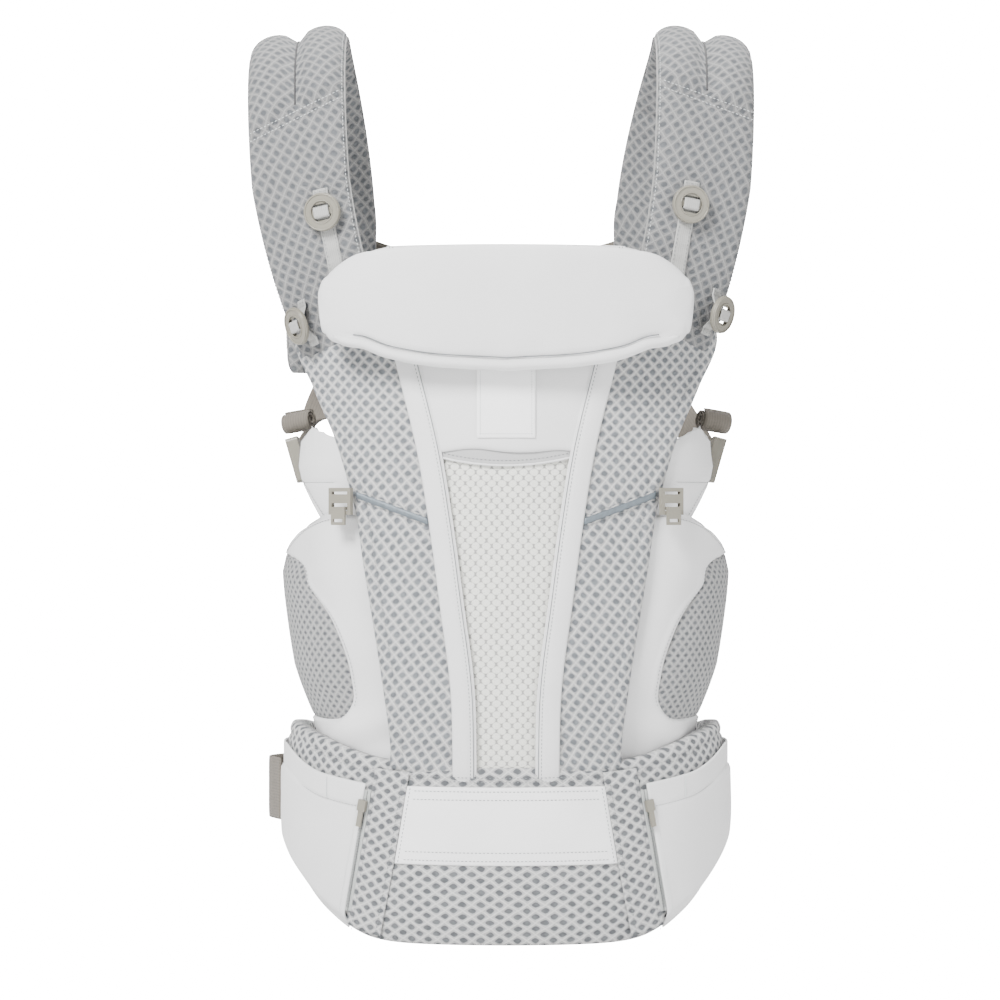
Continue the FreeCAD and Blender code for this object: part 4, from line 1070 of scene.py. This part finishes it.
def make_reflective():
    """Slanted reflective piping across each gore, in a fold of the mesh."""
    for name, side in SIDES.items():
        t = np.linspace(0, 1, 40)[:, None]
        w = np.linspace(-2.4, 2.4, 8)[None, :]
        x = side * (61 + 56 * t) + 0 * w
        z = 331.5 + 20.5 * t + w
        stand = 7.6 + 0.7 * (1 - (w / 2.4) ** 2) + 0 * t
        piece = ply(f"reflective_piping_{name}", on_panel(x, z, stand), 1.4, REFLECTIVE)
        settle(piece, "carrier", "reflective", *(["reflective_piping"] if side < 0 else []))
        for shift, stand in ((3.1, 6.6), (-3.0, 6.4)):
            rolled_edge(f"piping_fold_{'up' if shift > 0 else 'down'}_{name}",
                        on_panel(side * (61 + 56 * t[:, 0]), 331.5 + 20.5 * t[:, 0] + shift, stand),
                        0.7, GORE_MESH, "open_mesh")


def make_pillow():
    """The folded-down head support: a soft cushion with a thick roll along its hem."""
    share_top = ((0, 60, 94, 122, 138, 144, 146), (0, 0.012, 0.035, 0.10, 0.23, 0.31, 0.385))
    share_low = ((0, 72, 92, 108, 128, 139, 144, 146), (0.99, 0.93, 0.885, 0.82, 0.775, 0.70, 0.59, 0.395))
    u = np.linspace(-1, 1, 121)
    x = 145.5 * np.sin(u * np.pi / 2)
    top = 545 - 99 * smooth_line(*share_top, np.abs(x))
    low = 545 - 99 * smooth_line(*share_low, np.abs(x))
    v = np.linspace(0, 1, 45)
    z = low[None, :] + (top - low)[None, :] * v[:, None]
    xx = np.broadcast_to(x[None, :], z.shape)
    edge = np.minimum(v[:, None] * (top - low)[None, :], (1 - v[:, None]) * (top - low)[None, :])
    edge = np.minimum(edge, (145.8 - np.abs(xx)) * 1.3)
    full = np.sqrt(np.clip(1 - (1 - np.clip(edge / 40, 0, 1)) ** 2, 0, 1))
    seam = 24.0
    from_hem = v[:, None] * (top - low)[None, :]
    pucker = 0.55 * np.sin(xx / 6.5 + 1.5 * np.sin(xx / 31)) * bell(from_hem, 17, 8) + 0.8 * wave(
        on_panel(xx, z, 0), 51, 120) * ramp(from_hem, 10, 30)
    crease = 1.5 * bell(from_hem, 9.5, 1.6) * (1 - ramp(np.abs(xx), 112, 132))
    face = on_panel(xx, z, seam - 2 + 10.0 * full + pucker * (full > 0.3) - crease * (full > 0.3),
                    PILLOW_RADIUS)
    back = on_panel(xx, z, seam - 2.6 - 9.0 * full, PILLOW_RADIUS)
    piece = ply("head_cushion", face, 1, SMOOTH, 0.2, back=back)
    count = z.size
    flat_edge = ((edge.ravel() < 1.0) | (np.abs(from_hem.ravel() - 10) < 2.4)).nonzero()[0]
    rim = np.arange(2 * count, len(piece.data.vertices))
    puff(piece, list(flat_edge) + list(flat_edge + count) + list(rim), 3.0, 5.0)
    settle(piece, "head_support", "smooth_fabric", "head_support_cover", "head_support_foam")
    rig.padded(piece, fill=0.7)

    hem_x = x[(np.abs(x) < 134)]
    hem_z = low[(np.abs(x) < 134)]
    line = on_panel(hem_x, hem_z + 4.0, seam + 1.0, PILLOW_RADIUS)
    course = unit(np.gradient(line, axis=0))
    turn = np.linspace(0, 2 * np.pi, 16, endpoint=False)
    up = unit(np.cross(course, np.array([0.0, 1.0, 0.0])))
    up *= np.sign(up[len(up) // 2, 2])
    out = np.cross(up, course)
    ends = np.sqrt(np.clip(1 - (np.abs(hem_x) / 134.5) ** 10, 0.02, 1))
    tall = (4.4 + 0.3 * wave(line, 52, 40)) * ends
    deep = 6.4 * ends
    rings = line[:, None] + (up[:, None] * (np.cos(turn)[None, :] * tall[:, None])[..., None]
                             + out[:, None] * (np.sin(turn)[None, :] * deep[:, None])[..., None])
    run = np.concatenate([[0], np.cumsum(np.linalg.norm(np.diff(line, axis=0), axis=1))])
    cloth_map = np.stack([np.broadcast_to(turn * 5, rings.shape[:2]),
                          np.broadcast_to(run[:, None], rings.shape[:2])], axis=2)
    inner = np.abs(hem_x) < 118
    rolled_edge("head_cushion_seam", on_panel(hem_x[inner], hem_z[inner] + 9.6, seam + 4.6, PILLOW_RADIUS),
                0.45, GREY_THREAD, "smooth_fabric", "head_support")
    hem = loft("head_cushion_roll", rings, SMOOTH, cloth_map)
    settle(hem, "head_support", "smooth_fabric")


# ------------------------------------------------------------------------------ shoulder straps

STRAP_SEAMS = {-1: (0.335, 0.014), 1: (0.350, 0.009)}


def make_straps():
    """Padded straps: two soft lobes over the shoulder, flatter pads below and behind it, and a dark line of painted
    shade down the groove between the lobes.
    """
    around = 64
    turn = np.linspace(0, 2 * np.pi, around, endpoint=False)
    across = np.sign(np.cos(turn)) * np.abs(np.cos(turn)) ** 0.62
    height = np.sign(np.sin(turn)) * np.abs(np.sin(turn)) ** 0.62
    stations = np.concatenate([np.linspace(0.0, 0.06, 18, endpoint=False),
                               np.linspace(0.06, 0.965, 200, endpoint=False),
                               np.linspace(0.965, 0.998, 14)])
    for name, side in SIDES.items():
        seam, slant = STRAP_SEAMS[side]
        rings, cloth_map, sewn = [], [], []
        run, before = 0.0, None
        for k, s in enumerate(stations):
            middle, inward, outward, _ = strap_station(s, side)
            if before is not None:
                run += np.linalg.norm(middle - before)
            before = middle
            at_seam = seam + slant * across
            lobed = ramp(s, at_seam, at_seam + 0.009) * (1 - ramp(s, 0.548, 0.558))
            thick = 9 * (0.7 + 0.3 * min(1.0, s / 0.15))
            tail = math.sqrt(max(0.0, 1 - (max(0.0, s - 0.965) / 0.034) ** 2))
            groove = bell(across, 0.0, 0.06) * lobed * (height > 0)
            cross = (bell(s, at_seam, 0.004) + bell(s, 0.555, 0.004) + bell(s, 0.60, 0.004) * 0.7)
            lobe = np.sqrt(np.clip(1 - (2 * np.abs(across) - 1) ** 2, 0, 1)) * 13.5
            plump = lobed * (height > 0)
            out = height * thick * (1 - plump) + np.maximum(lobe, 3.5 * height) * plump
            out = out * (1 - 0.45 * np.clip(cross, 0, 1))
            out = out * np.clip(0.25 + 0.75 * tail, 0, 1)
            wide = 39.4 * (1 - 0.02 * np.clip(cross, 0, 1)) * (0.86 + 0.14 * tail)
            ring = middle + inward * (across * wide)[:, None] + outward * out[:, None]
            rings.append(ring)
            cloth_map.append(np.stack([across * 40 + (height < 0) * 90, np.full(around, run)], 1))
            fixed = (np.abs(height) < 0.35) | (groove > 0.35) | (cross > 0.4) | (s < 0.16) | (s > 0.95)
            sewn += list(k * around + fixed.nonzero()[0])
        rings = np.array(rings)
        # The strap's mesh finish is darkened partly by painted shade.
        piece = loft(f"strap_{name}", rings, SHADED_STRAP_MESH, np.array(cloth_map))
        ends = [len(rings) * around, len(rings) * around + 1]
        puff(piece, sewn + ends, 2.5, 3.0)
        settle(piece, "carrier", "open_mesh", f"strap_cover_{name}", f"strap_foam_{name}")
        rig.padded(piece, fill=0.7)
        t = np.linspace(-0.92, 0.92, 40)
        rows = [[on_strap(seam + slant * a + shift, side, a * 39, 8.6) for a in t]
                for shift in (-0.005, 0.002)]
        rows += [[on_strap(s, side, a * 38, 8.9) for a in t] for s in (0.552, 0.558, 0.598)]
        at = np.linspace(0.10, 0.95, 260)
        rows += [[on_strap(s, side, a, 4.6) for s in at] for a in (-38.6, 38.6)]
        sew("carrier", rows, PALE_THREAD, "open_mesh", thick=0.5)
        # A near-black thread down the groove between the two lobes: painted shade in the groove.
        at = np.linspace(seam + 0.012, 0.545, 90)
        rolled_edge(f"strap_groove_{name}", [on_strap(s, side, 0, 4.4) for s in at], 0.7, PAINTED_GROOVE_SHADE,
                    "open_mesh")
        for label, a in (("inner", 39.6), ("outer", -39.6)):
            at = np.linspace(0.05, 0.985, 200)
            line = [on_strap(s, side, a * (1 - 0.1 * max(0, s - 0.95) / 0.05), 0) for s in at]
            rolled_edge(f"strap_piping_{label}_{name}", line, 0.8, STRAP_EDGE, "smooth_fabric")


def local_frame(spot, right, up):
    """A spot with its right, up and outward directions, square to each other."""
    right, out = unit(right), unit(np.cross(right, up))
    return spot, right, np.cross(out, right), out


def strap_spot(s, side, shift, turn):
    """The spot and directions of a button on a strap."""
    middle, inward, outward, course = strap_station(s, side)
    spot = middle + inward * shift + outward * 9
    angle = math.radians(side * turn)
    turned = inward * math.cos(angle) + np.cross(course, inward) * math.sin(angle)
    return local_frame(spot, turned * -side, course)


BUTTONS = {("upper", -1): (0.222, 19, 0, 0, 62), ("upper", 1): (0.238, 12, 0, 0, 62),
           ("lower", -1): (0.066, -18, 30, 4.5, 14), ("lower", 1): (0.086, -26, 30, 4.5, 14)}


def make_tapes():
    """Narrow tapes, sewn down below and above, that pass over the bar of each button."""
    slot = 6.5 - 8 / 4
    first = True
    for (level, side), (s, shift, turn, stand, tail) in BUTTONS.items():
        spot, right, up, out = strap_spot(s, side, shift, turn)
        lift = 7 + stand
        over = lift + 1.8 + 0.9
        route = [(-slot - tail, 1.2), (-slot - 9, 1.2), (-slot, lift - 4), (-slot, over - 0.8),
                 (-slot + 1.4, over), (slot - 1.4, over), (slot, over - 0.8), (slot, lift - 4),
                 (slot + 9, 1.2), (slot + 14, 1.2)]
        route = np.array(route)
        far = np.concatenate([[0], np.cumsum(np.linalg.norm(np.diff(route, axis=0), axis=1))])
        at = np.unique(np.concatenate([np.linspace(0, far[-1], 60), far]))
        y, z = np.interp(at, far, route[:, 0]), np.interp(at, far, route[:, 1])
        soft = np.convolve(np.pad(z, 2, "edge"), np.ones(5) / 5, "valid")
        z = np.where((z < 1.6) | (z > lift - 3), z, soft)
        z = z + np.where(z < 1.4, 0.35 * np.sin(at * 0.55), 0)
        w = np.linspace(-6, 6, 9)
        face = (spot + right * w[None, :, None] + up * y[:, None, None]
                + out * (z + 0.6)[:, None, None])
        place = face[:, 4]
        normal = unit(np.cross(np.gradient(place, axis=0), np.broadcast_to(right, place.shape)))
        if normal[0] @ out < 0:
            normal = -normal
        back = face - normal[:, None] * 1.1
        hand = "left" if side < 0 else "right"
        piece = ply(f"button_tape_{level}_{hand}", face, 1.1, TAPE, 0.3, back=back)
        settle(piece, "carrier", "smooth_fabric", *(["button_tapes"] if first else []))
        first = False
        rows = []
        for edge in (-4.7, 4.7):
            low = (at < far[1] - 1)
            rows.append(face[low, 4] + right * edge + out * 0.2)
            high = (at > far[-2] - 1)
            rows.append(face[high, 4] + right * edge + out * 0.2)
        for along in (-slot - tail + 2, slot + 12):
            rows.append([spot + right * a + up * along + out * 2.1 for a in (-4.5, 0, 4.5)])
        sew("carrier", rows, GREY_THREAD, thick=0.45)


# ------------------------------------------------------------------------------ wings and pads


def wing_point(side, inset, half, back, heights, degrees, z, stand):
    """A point of a wing: an oval in plan, from the panel round to the side."""
    share = np.interp(z, [h[0] for h in heights], [h[1] for h in heights])
    x0 = inset * np.minimum(1.0, share)
    reach_x, reach_y = half * share - x0, back - (panel_line(z) + 30)
    t = np.radians(degrees)
    x, y = x0 + reach_x * np.sin(t), back - reach_y * np.cos(t)
    normal = unit(np.stack([reach_y * np.sin(t), -reach_x * np.cos(t), 0 * z + 0 * t], axis=-1))
    point = np.stack([x, y, z + 0 * t], axis=-1) + normal * np.asarray(stand)[..., None]
    return point * [side, 1, 1]


UPPER_WING = (88, 166, -30, ((315, 0.93), (345, 0.96), (375, 1.0), (415, 0.97)))
LEG_WING = (92, 178, -8, ((130, 0.80), (165, 0.86), (215, 0.94), (290, 1.0), (345, 0.97)))


def wing_angle(wing, x, z):
    """The angle of a wing that lies x out from the middle."""
    inset, half, _, heights = wing
    share = np.interp(z, [h[0] for h in heights], [h[1] for h in heights])
    x0 = inset * np.minimum(1.0, share)
    return np.degrees(np.arcsin(np.clip((x - x0) / (half * share - x0), -0.999, 1)))


def make_upper_wings():
    """The smooth wings above the clips."""
    rows, columns = 60, 50
    z = np.linspace(326, 404.5, rows)[:, None] + np.zeros((1, columns))
    outer_x = smooth_line((325, 352, 378, 392, 405), (141, 157, 168.5, 166, 154), z)
    inner_x = np.where(z > 375, 90 + (z - 375) / 30 * 62, 90)
    start, end = wing_angle(UPPER_WING, inner_x, z), wing_angle(UPPER_WING, outer_x, z)
    u = np.linspace(0, 1, columns)[None, :]
    degrees = np.clip(start, 0, 90) + (end - np.clip(start, 0, 90)) * u
    for name, side in SIDES.items():
        hem = bell((1 - u) * 60, 5, 2.4)
        ripple = degrees * 0.7 + wave(z[..., None] * [0, 0, 1], 61 + side, 40)
        gather = 0.2 * np.sin(ripple) * ramp(z, 375, 402)
        stand = 1.6 + 1.0 * (1 - u**6) - 0.7 * hem + gather
        stand = stand + 1.1 * wave(np.stack([degrees, z, z], -1), 63 + side, 60) * (1 - u**3)
        stand = stand - 0.6 * bell(z, 362.5, 1.4) * (u > 0.4)
        face = wing_point(side, *UPPER_WING, degrees, z, stand)
        piece = ply(f"upper_wing_{name}", face, 3.4, SMOOTH, 0.5)
        settle(piece, "carrier", "smooth_fabric", f"upper_wing_{name}")
        cut_cloth(piece, face)
        sew("carrier", [face[3:-3, -7] + (face[3:-3, -7] - piece_centre(face)) * 0.003,
                        face[int(rows * 0.45), 22:-3] * [1, 1.006, 1]], GREY_THREAD)


def piece_centre(face):
    """The middle line's point at a piece's mean height."""
    return np.array([0.0, 0.0, face[..., 2].mean()])


# the leg pad's front edge: heights, and how far out it is at each
PAD_LINE = ((172, 175, 184, 208, 237, 260, 279, 303, 308),
            (132, 128, 122, 122, 130, 141, 156, 172, 186))


def leg_surface(side, degrees, z, stand):
    """A point of a leg wing."""
    return wing_point(side, *LEG_WING, degrees, z, stand)


def make_leg_wings():
    """Smooth leg wings, let in for a mesh pad, with a sewn band along the top."""
    rows, columns = 110, 90
    z = np.linspace(132, 334.5, rows)[:, None] + np.zeros((1, columns))
    outer_x = smooth_line((286, 304, 316, 326, 332, 336), (200, 178, 169, 157, 142, 124), z)
    by_line = wing_angle(LEG_WING, outer_x, z)
    full = np.interp(z, (130, 172, 200), (72, 88, 104))
    near_top = ramp(z, 284, 300)
    top_end = np.minimum(np.where(z > 288, 104, full), by_line)
    end = full * (1 - near_top) + top_end * near_top
    u = np.linspace(0, 1, columns)[None, :]
    degrees = 3 + (end - 3) * u
    for name, side in SIDES.items():
        pad_angle = wing_angle(LEG_WING, smooth_line(*PAD_LINE, z), z)
        in_pad = (ramp(degrees, pad_angle - 2.5, pad_angle + 1.5) * ramp(z, 171, 174)
                  * (1 - ramp(z, 304, 309)))
        spots = leg_surface(side, degrees, z, 0 * z)
        stand = 3.0 + 1.9 * wave(spots, 71 + side, 70) * (1 - u**4) * (1 - in_pad) - 3.2 * in_pad
        folds = 2.6 * np.sin((z - 130) / 7.5 + degrees / 13) * bell(z, 158, 20) * (1 - ramp(u, 0.5, 0.9))
        band = -0.8 * bell((1 - u) * (degrees.max() - 3) * 2.2, 12, 2.4) * ramp(z, 300, 312)
        beside_pad = ramp(z, 180, 200) * (1 - ramp(z, 290, 300))
        stand = stand + folds + band + 0.9 * bell(pad_angle - degrees, 3.5, 2.0) * beside_pad
        face = leg_surface(side, degrees, z, stand)
        piece = ply(f"leg_wing_{name}", face, 5.5, SMOOTH, 0.45)
        settle(piece, "carrier", "smooth_fabric", f"leg_wing_{name}")
        cut_cloth(piece, face)
        top = face[:, -8][z[:, 0] > 300]
        line_z = np.linspace(186, 296, 70)
        line_a = wing_angle(LEG_WING, smooth_line(*PAD_LINE, line_z) - 4, line_z)
        sew("carrier", [top + (top - piece_centre(top)) * 0.003,
                        leg_surface(side, line_a, line_z, 0 * line_z + 4.4)], GREY_THREAD)
        make_leg_pad(name, side)


def make_leg_pad(name, side):
    """The padded mesh cushion at a leg's opening."""
    rows, columns = 64, 44
    z = np.linspace(173, 307, rows)[:, None] + np.zeros((1, columns))
    start = wing_angle(LEG_WING, smooth_line(*PAD_LINE, z), z)
    end = np.interp(z, (172, 200, 286, 308), (88, 103.5, 103.5, 92))
    u = np.linspace(0, 1, columns)[None, :]
    degrees = start + (end - start) * u
    v = np.linspace(0, 1, rows)[:, None]
    full = (np.clip(np.sin(np.pi * u), 0, 1) ** 0.5) * (np.clip(np.sin(np.pi * v), 0, 1) ** 0.45)
    stand = 0.6 + 6.0 * full
    face = leg_surface(side, degrees, z, stand)
    back = leg_surface(side, degrees, z, 0.2 - 4.0 * full)
    piece = ply(f"leg_pad_{name}", face, 1, PAD_MESH, 0.1, back=back)
    loop = [i * columns + j for i, j in border(rows, columns)]
    count = rows * columns
    puff(piece, loop + [count + k for k in loop] + list(range(2 * count, len(piece.data.vertices))),
         2.0, 3.0)
    settle(piece, "carrier", "open_mesh", f"leg_pad_{name}")
    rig.padded(piece, fill=0.65)


# ------------------------------------------------------------------------------ webbing


def webbing(name, line, across, width, thick, body, slot="webbing", nodes=(), finish=None, n=9):
    """A flat webbing: a line of middle points and its width direction at each."""
    line, across = np.asarray(line, float), unit(across)
    course = unit(np.gradient(line, axis=0))
    across = unit(across - course * np.sum(across * course, axis=1, keepdims=True))
    normal = np.cross(course, across)
    w = np.linspace(-width / 2, width / 2, n)
    ridge = 0.35 * (1 - (2 * w / width) ** 8)
    face = line[:, None] + across[:, None] * w[None, :, None] + normal[:, None] * (
        (thick / 2 - 0.2) + ridge)[None, :, None]
    back = line[:, None] + across[:, None] * w[None, :, None] - normal[:, None] * (
        (thick / 2 - 0.2) + ridge)[None, :, None]
    piece = ply(name, face, thick, finish or WEBBING, 0.3, back=back)
    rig.slot(piece, slot)
    if nodes:
        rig.replaces(piece, *nodes)
    if body:
        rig.ride(piece, body)
    return piece


def metres(point):
    return tuple(float(v) / 1000 for v in point)


def through(points, count):
    """A smooth line through route points."""
    points = np.asarray(points, float)
    far = np.concatenate([[0], np.cumsum(np.linalg.norm(np.diff(points, axis=0), axis=1))])
    at = np.linspace(0, far[-1], count)
    return np.stack([smooth_line(far, points[:, k], at) for k in range(points.shape[1])], axis=1)


def make_belt_webbing():
    """The belt's webbing from each side to the buckle behind."""
    stand = 14.0

    def path(start, bulge):
        rows = []
        for k in range(7):
            degrees = start + (152 - start) * k / 6
            t = math.radians(degrees)
            grow = stand + bulge * math.exp(-((degrees - 103) / 9) ** 2)
            rows.append(((WAIST_HALF_WIDTH + grow) * math.sin(t),
                         -(WAIST_HALF_DEPTH + grow) * math.cos(t)))
        return rows

    back = WAIST_HALF_DEPTH + stand
    left = [(-x, y) for x, y in path(90, 17)] + [(-62, back + 0.5), (-43.2, back + 1)]
    right = path(104, 0) + [(62, back + 0.5), (20.8, back + 1)]
    for name, route in (("left", left), ("right", right)):
        flat = through(route, 120)
        line = np.column_stack([flat, np.full(len(flat), 111.0)])
        across = np.tile([0.0, 0.0, 1.0], (len(line), 1))
        piece = webbing(f"belt_webbing_{name}", line, across, 50, 2,
                        "carrier" if name == "left" else None,
                        nodes=[f"belt_webbing_{name}"], n=17)
        if name == "right":
            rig.blend(piece, "carrier", "waist_plug", metres(line[45]), metres(line[-12]))


def side_mouth(side):
    """The middle of a side buckle's mouth, and its upward direction."""
    lean = math.radians(side * 16)
    return (np.array([side * 170.0, 5.0, 381.0]),
            np.array([math.sin(lean), 0.0, math.cos(lean)]))


def make_shoulder_webbing():
    """Webbing from each strap's end to its side buckle, and its rolled spare."""
    for name, side in SIDES.items():
        mouth, up = side_mouth(side)
        middle, inward, _, course = strap_station(1.0, side)
        start, end = mouth + [0, 28.5, 0], middle + course * 8
        t = np.linspace(0, 1, 40)[:, None]
        line = start + (end - start) * t + np.array([side * 2.0, 1.5, -2.0]) * np.sin(np.pi * t)
        across = up * (1 - t) + inward * -side * t
        piece = webbing(f"shoulder_webbing_{name}", line, across, 25, 2, None,
                        nodes=[f"shoulder_webbing_{name}"])
        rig.blend(piece, f"side_plug_{name}", "carrier", metres(line[3]), metres(line[-3]))
        make_roll(name, side, mouth)


def make_roll(name, side, mouth):
    """The spare webbing, rolled up on itself beside the buckle."""
    centre = mouth + [0, -11, 31.5]
    axis = unit([side * -0.9, -0.4, 0.15])
    first = unit(np.cross(axis, [0.0, 0.0, 1.0]))
    second = np.cross(axis, first)
    turn = np.linspace(0, 2 * np.pi * 2.7, 150)
    radius = 2.2 + (9.1 - 2.2) * turn / turn[-1]
    line = centre + radius[:, None] * (first * np.cos(turn)[:, None] + second * np.sin(turn)[:, None])
    slip = 0.5 * np.sin(turn * 0.7)
    line = line + axis * slip[:, None]
    webbing(f"webbing_roll_{name}", line, np.tile(axis, (len(line), 1)), 24.4, 1.6,
            f"side_plug_{name}", nodes=[f"webbing_roll_{name}"])


def make_chest_webbing():
    """The chest strap: webbing from each slider to the buckle between."""
    level, drop = 562.0, 14.0
    s = 0.68 + 0.32 * (598 - level) / 143
    spots = {side: on_strap(s, side, 26, 14.2) for side in (-1, 1)}
    tip_y = spots[-1][1] + 3.4
    centre_x = (spots[-1][0] + spots[1][0]) / 2
    for name, side, end in (("left", -1, 28.4 - centre_x), ("right", 1, 20.8 + centre_x)):
        tip = abs(spots[side][0]) - 14
        t = np.linspace(0, 1, 50)
        x = tip + (end - tip) * t
        z = level - drop * (1 - (1 - t) ** 2)
        line = np.stack([side * x, np.full(50, tip_y + 1.0), z], axis=1)
        across = np.tile([0.0, 0.0, 1.0], (50, 1))
        piece = webbing(f"chest_webbing_{name}", line, across, 20, 2,
                        "chest_strap" if name == "left" else None,
                        nodes=[f"chest_webbing_{name}"])
        if name == "right":
            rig.blend(piece, "chest_strap", "chest_plug", metres(line[6]), metres(line[-4]))


# ------------------------------------------------------------------------------ kept mouldings


def make_button_rims():
    """The raised rims round each button's edge and its dish."""
    turn = np.linspace(0, 2 * np.pi, 73)
    for (level, side), (s, shift, angle, stand, _) in BUTTONS.items():
        spot, right, up, out = strap_spot(s, side, shift, angle)
        hand = "left" if side < 0 else "right"
        for label, radius, thick in (("edge", 13.9, 0.75), ("dish", 8.9, 0.55)):
            ring = (spot + out * (8.9 + stand) + radius * (right * np.cos(turn)[:, None]
                                                            + up * np.sin(turn)[:, None]))
            rolled_edge(f"button_{label}_{level}_{hand}", ring, thick, PLASTIC, "taupe_plastic",
                        f"{level}_button_{hand}")


def dress_mouldings():
    """Gives every moulded CAD piece its plastic."""
    for name, node in NODES.items():
        words = ("buckle", "plug", "prong", "button_", "clip_", "slider")
        if any(word in name for word in words) and name != "button_tapes":
            node.data.materials.clear()
            node.data.materials.append(PLASTIC)


# ------------------------------------------------------------------------------ light and floor


PAPER_GLOW, ROOM_LIGHT, BACKDROP_GLOW = 18.0, 0.68, 26.0


def make_studio():
    """White paper and backdrop, glowing to the camera alone, a soft room and three lights."""
    camera = bpy.data.objects.new("camera", bpy.data.cameras.new("camera"))
    camera.location, camera.rotation_euler = (-0.0047, -2.4, 0.348), (math.pi / 2, 0, 0)
    camera.data.lens = 105.2
    camera.data.clip_end = 50
    bpy.context.scene.collection.objects.link(camera)
    bpy.context.scene.camera = camera
    points = [(x, y, -1) for x, y in ((-9000, -6000), (9000, -6000), (9000, 9000), (-9000, 9000))]
    f = Finish("studio_paper", 0.95)
    paper = f.finish(f.mix(f.noise(f.place(), 3.0), shade(227, 227, 227), shade(228, 228, 228)))
    glow = f.node("ShaderNodeEmission", None, (1.0, 1.0, 1.0, 1.0), PAPER_GLOW)
    seen = f.node("ShaderNodeMixShader", None, f.node("ShaderNodeLightPath"),
                  Level(f, f.shader.outputs[0]), glow)
    f.feed(f.output.inputs[0], seen)
    floor = make("studio_floor", points, [(0, 1, 2, 3)], paper)
    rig.stage(floor)
    for name, place, target, size, power in (
            ("key", (-1.2, -2.3, 2.3), (0, 0, 0.35), 1.0, 245),
            ("fill", (2.1, -2.0, 1.0), (0, 0, 0.35), 1.6, 34),
            ("top", (0.2, 0.7, 2.6), (0, 0, 0.3), 1.4, 85)):
        light = bpy.data.objects.new(name, bpy.data.lights.new(name, "AREA"))
        light.data.size, light.data.energy = size, power
        light.location = place
        light.rotation_euler = (Vector(target) - Vector(place)).to_track_quat("-Z", "Y").to_euler()
        bpy.context.scene.collection.objects.link(light)
    world = bpy.data.worlds.new("studio")
    world.use_nodes = True
    tree = world.node_tree
    tree.nodes.clear()
    out, seen = tree.nodes.new("ShaderNodeOutputWorld"), tree.nodes.new("ShaderNodeLightPath")
    lights = [tree.nodes.new("ShaderNodeBackground") for _ in range(2)]
    for light, level in zip(lights, (ROOM_LIGHT, BACKDROP_GLOW)):
        light.inputs[0].default_value, light.inputs[1].default_value = (1, 1, 1, 1), level
    both = tree.nodes.new("ShaderNodeMixShader")
    for source, target in ((seen.outputs[0], both.inputs[0]), (lights[0].outputs[0], both.inputs[1]),
                           (lights[1].outputs[0], both.inputs[2]), (both.outputs[0], out.inputs[0])):
        tree.links.new(source, target)
    bpy.context.scene.world = world


make_studio()
make_belt()
make_hook_strip()
make_bands()
make_pockets()
make_gores()
make_centre()
make_label()
make_trims()
make_reflective()
make_pillow()
make_straps()
make_tapes()
make_button_rims()
make_upper_wings()
make_leg_wings()
make_belt_webbing()
make_shoulder_webbing()
make_chest_webbing()
dress_mouldings()
make_seams()

shown_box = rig.bounds()
with open("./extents.json", "w") as file:
    json.dump({"cad": [list(c) for c in cad_box], "visual": [list(c) for c in shown_box]}, file)
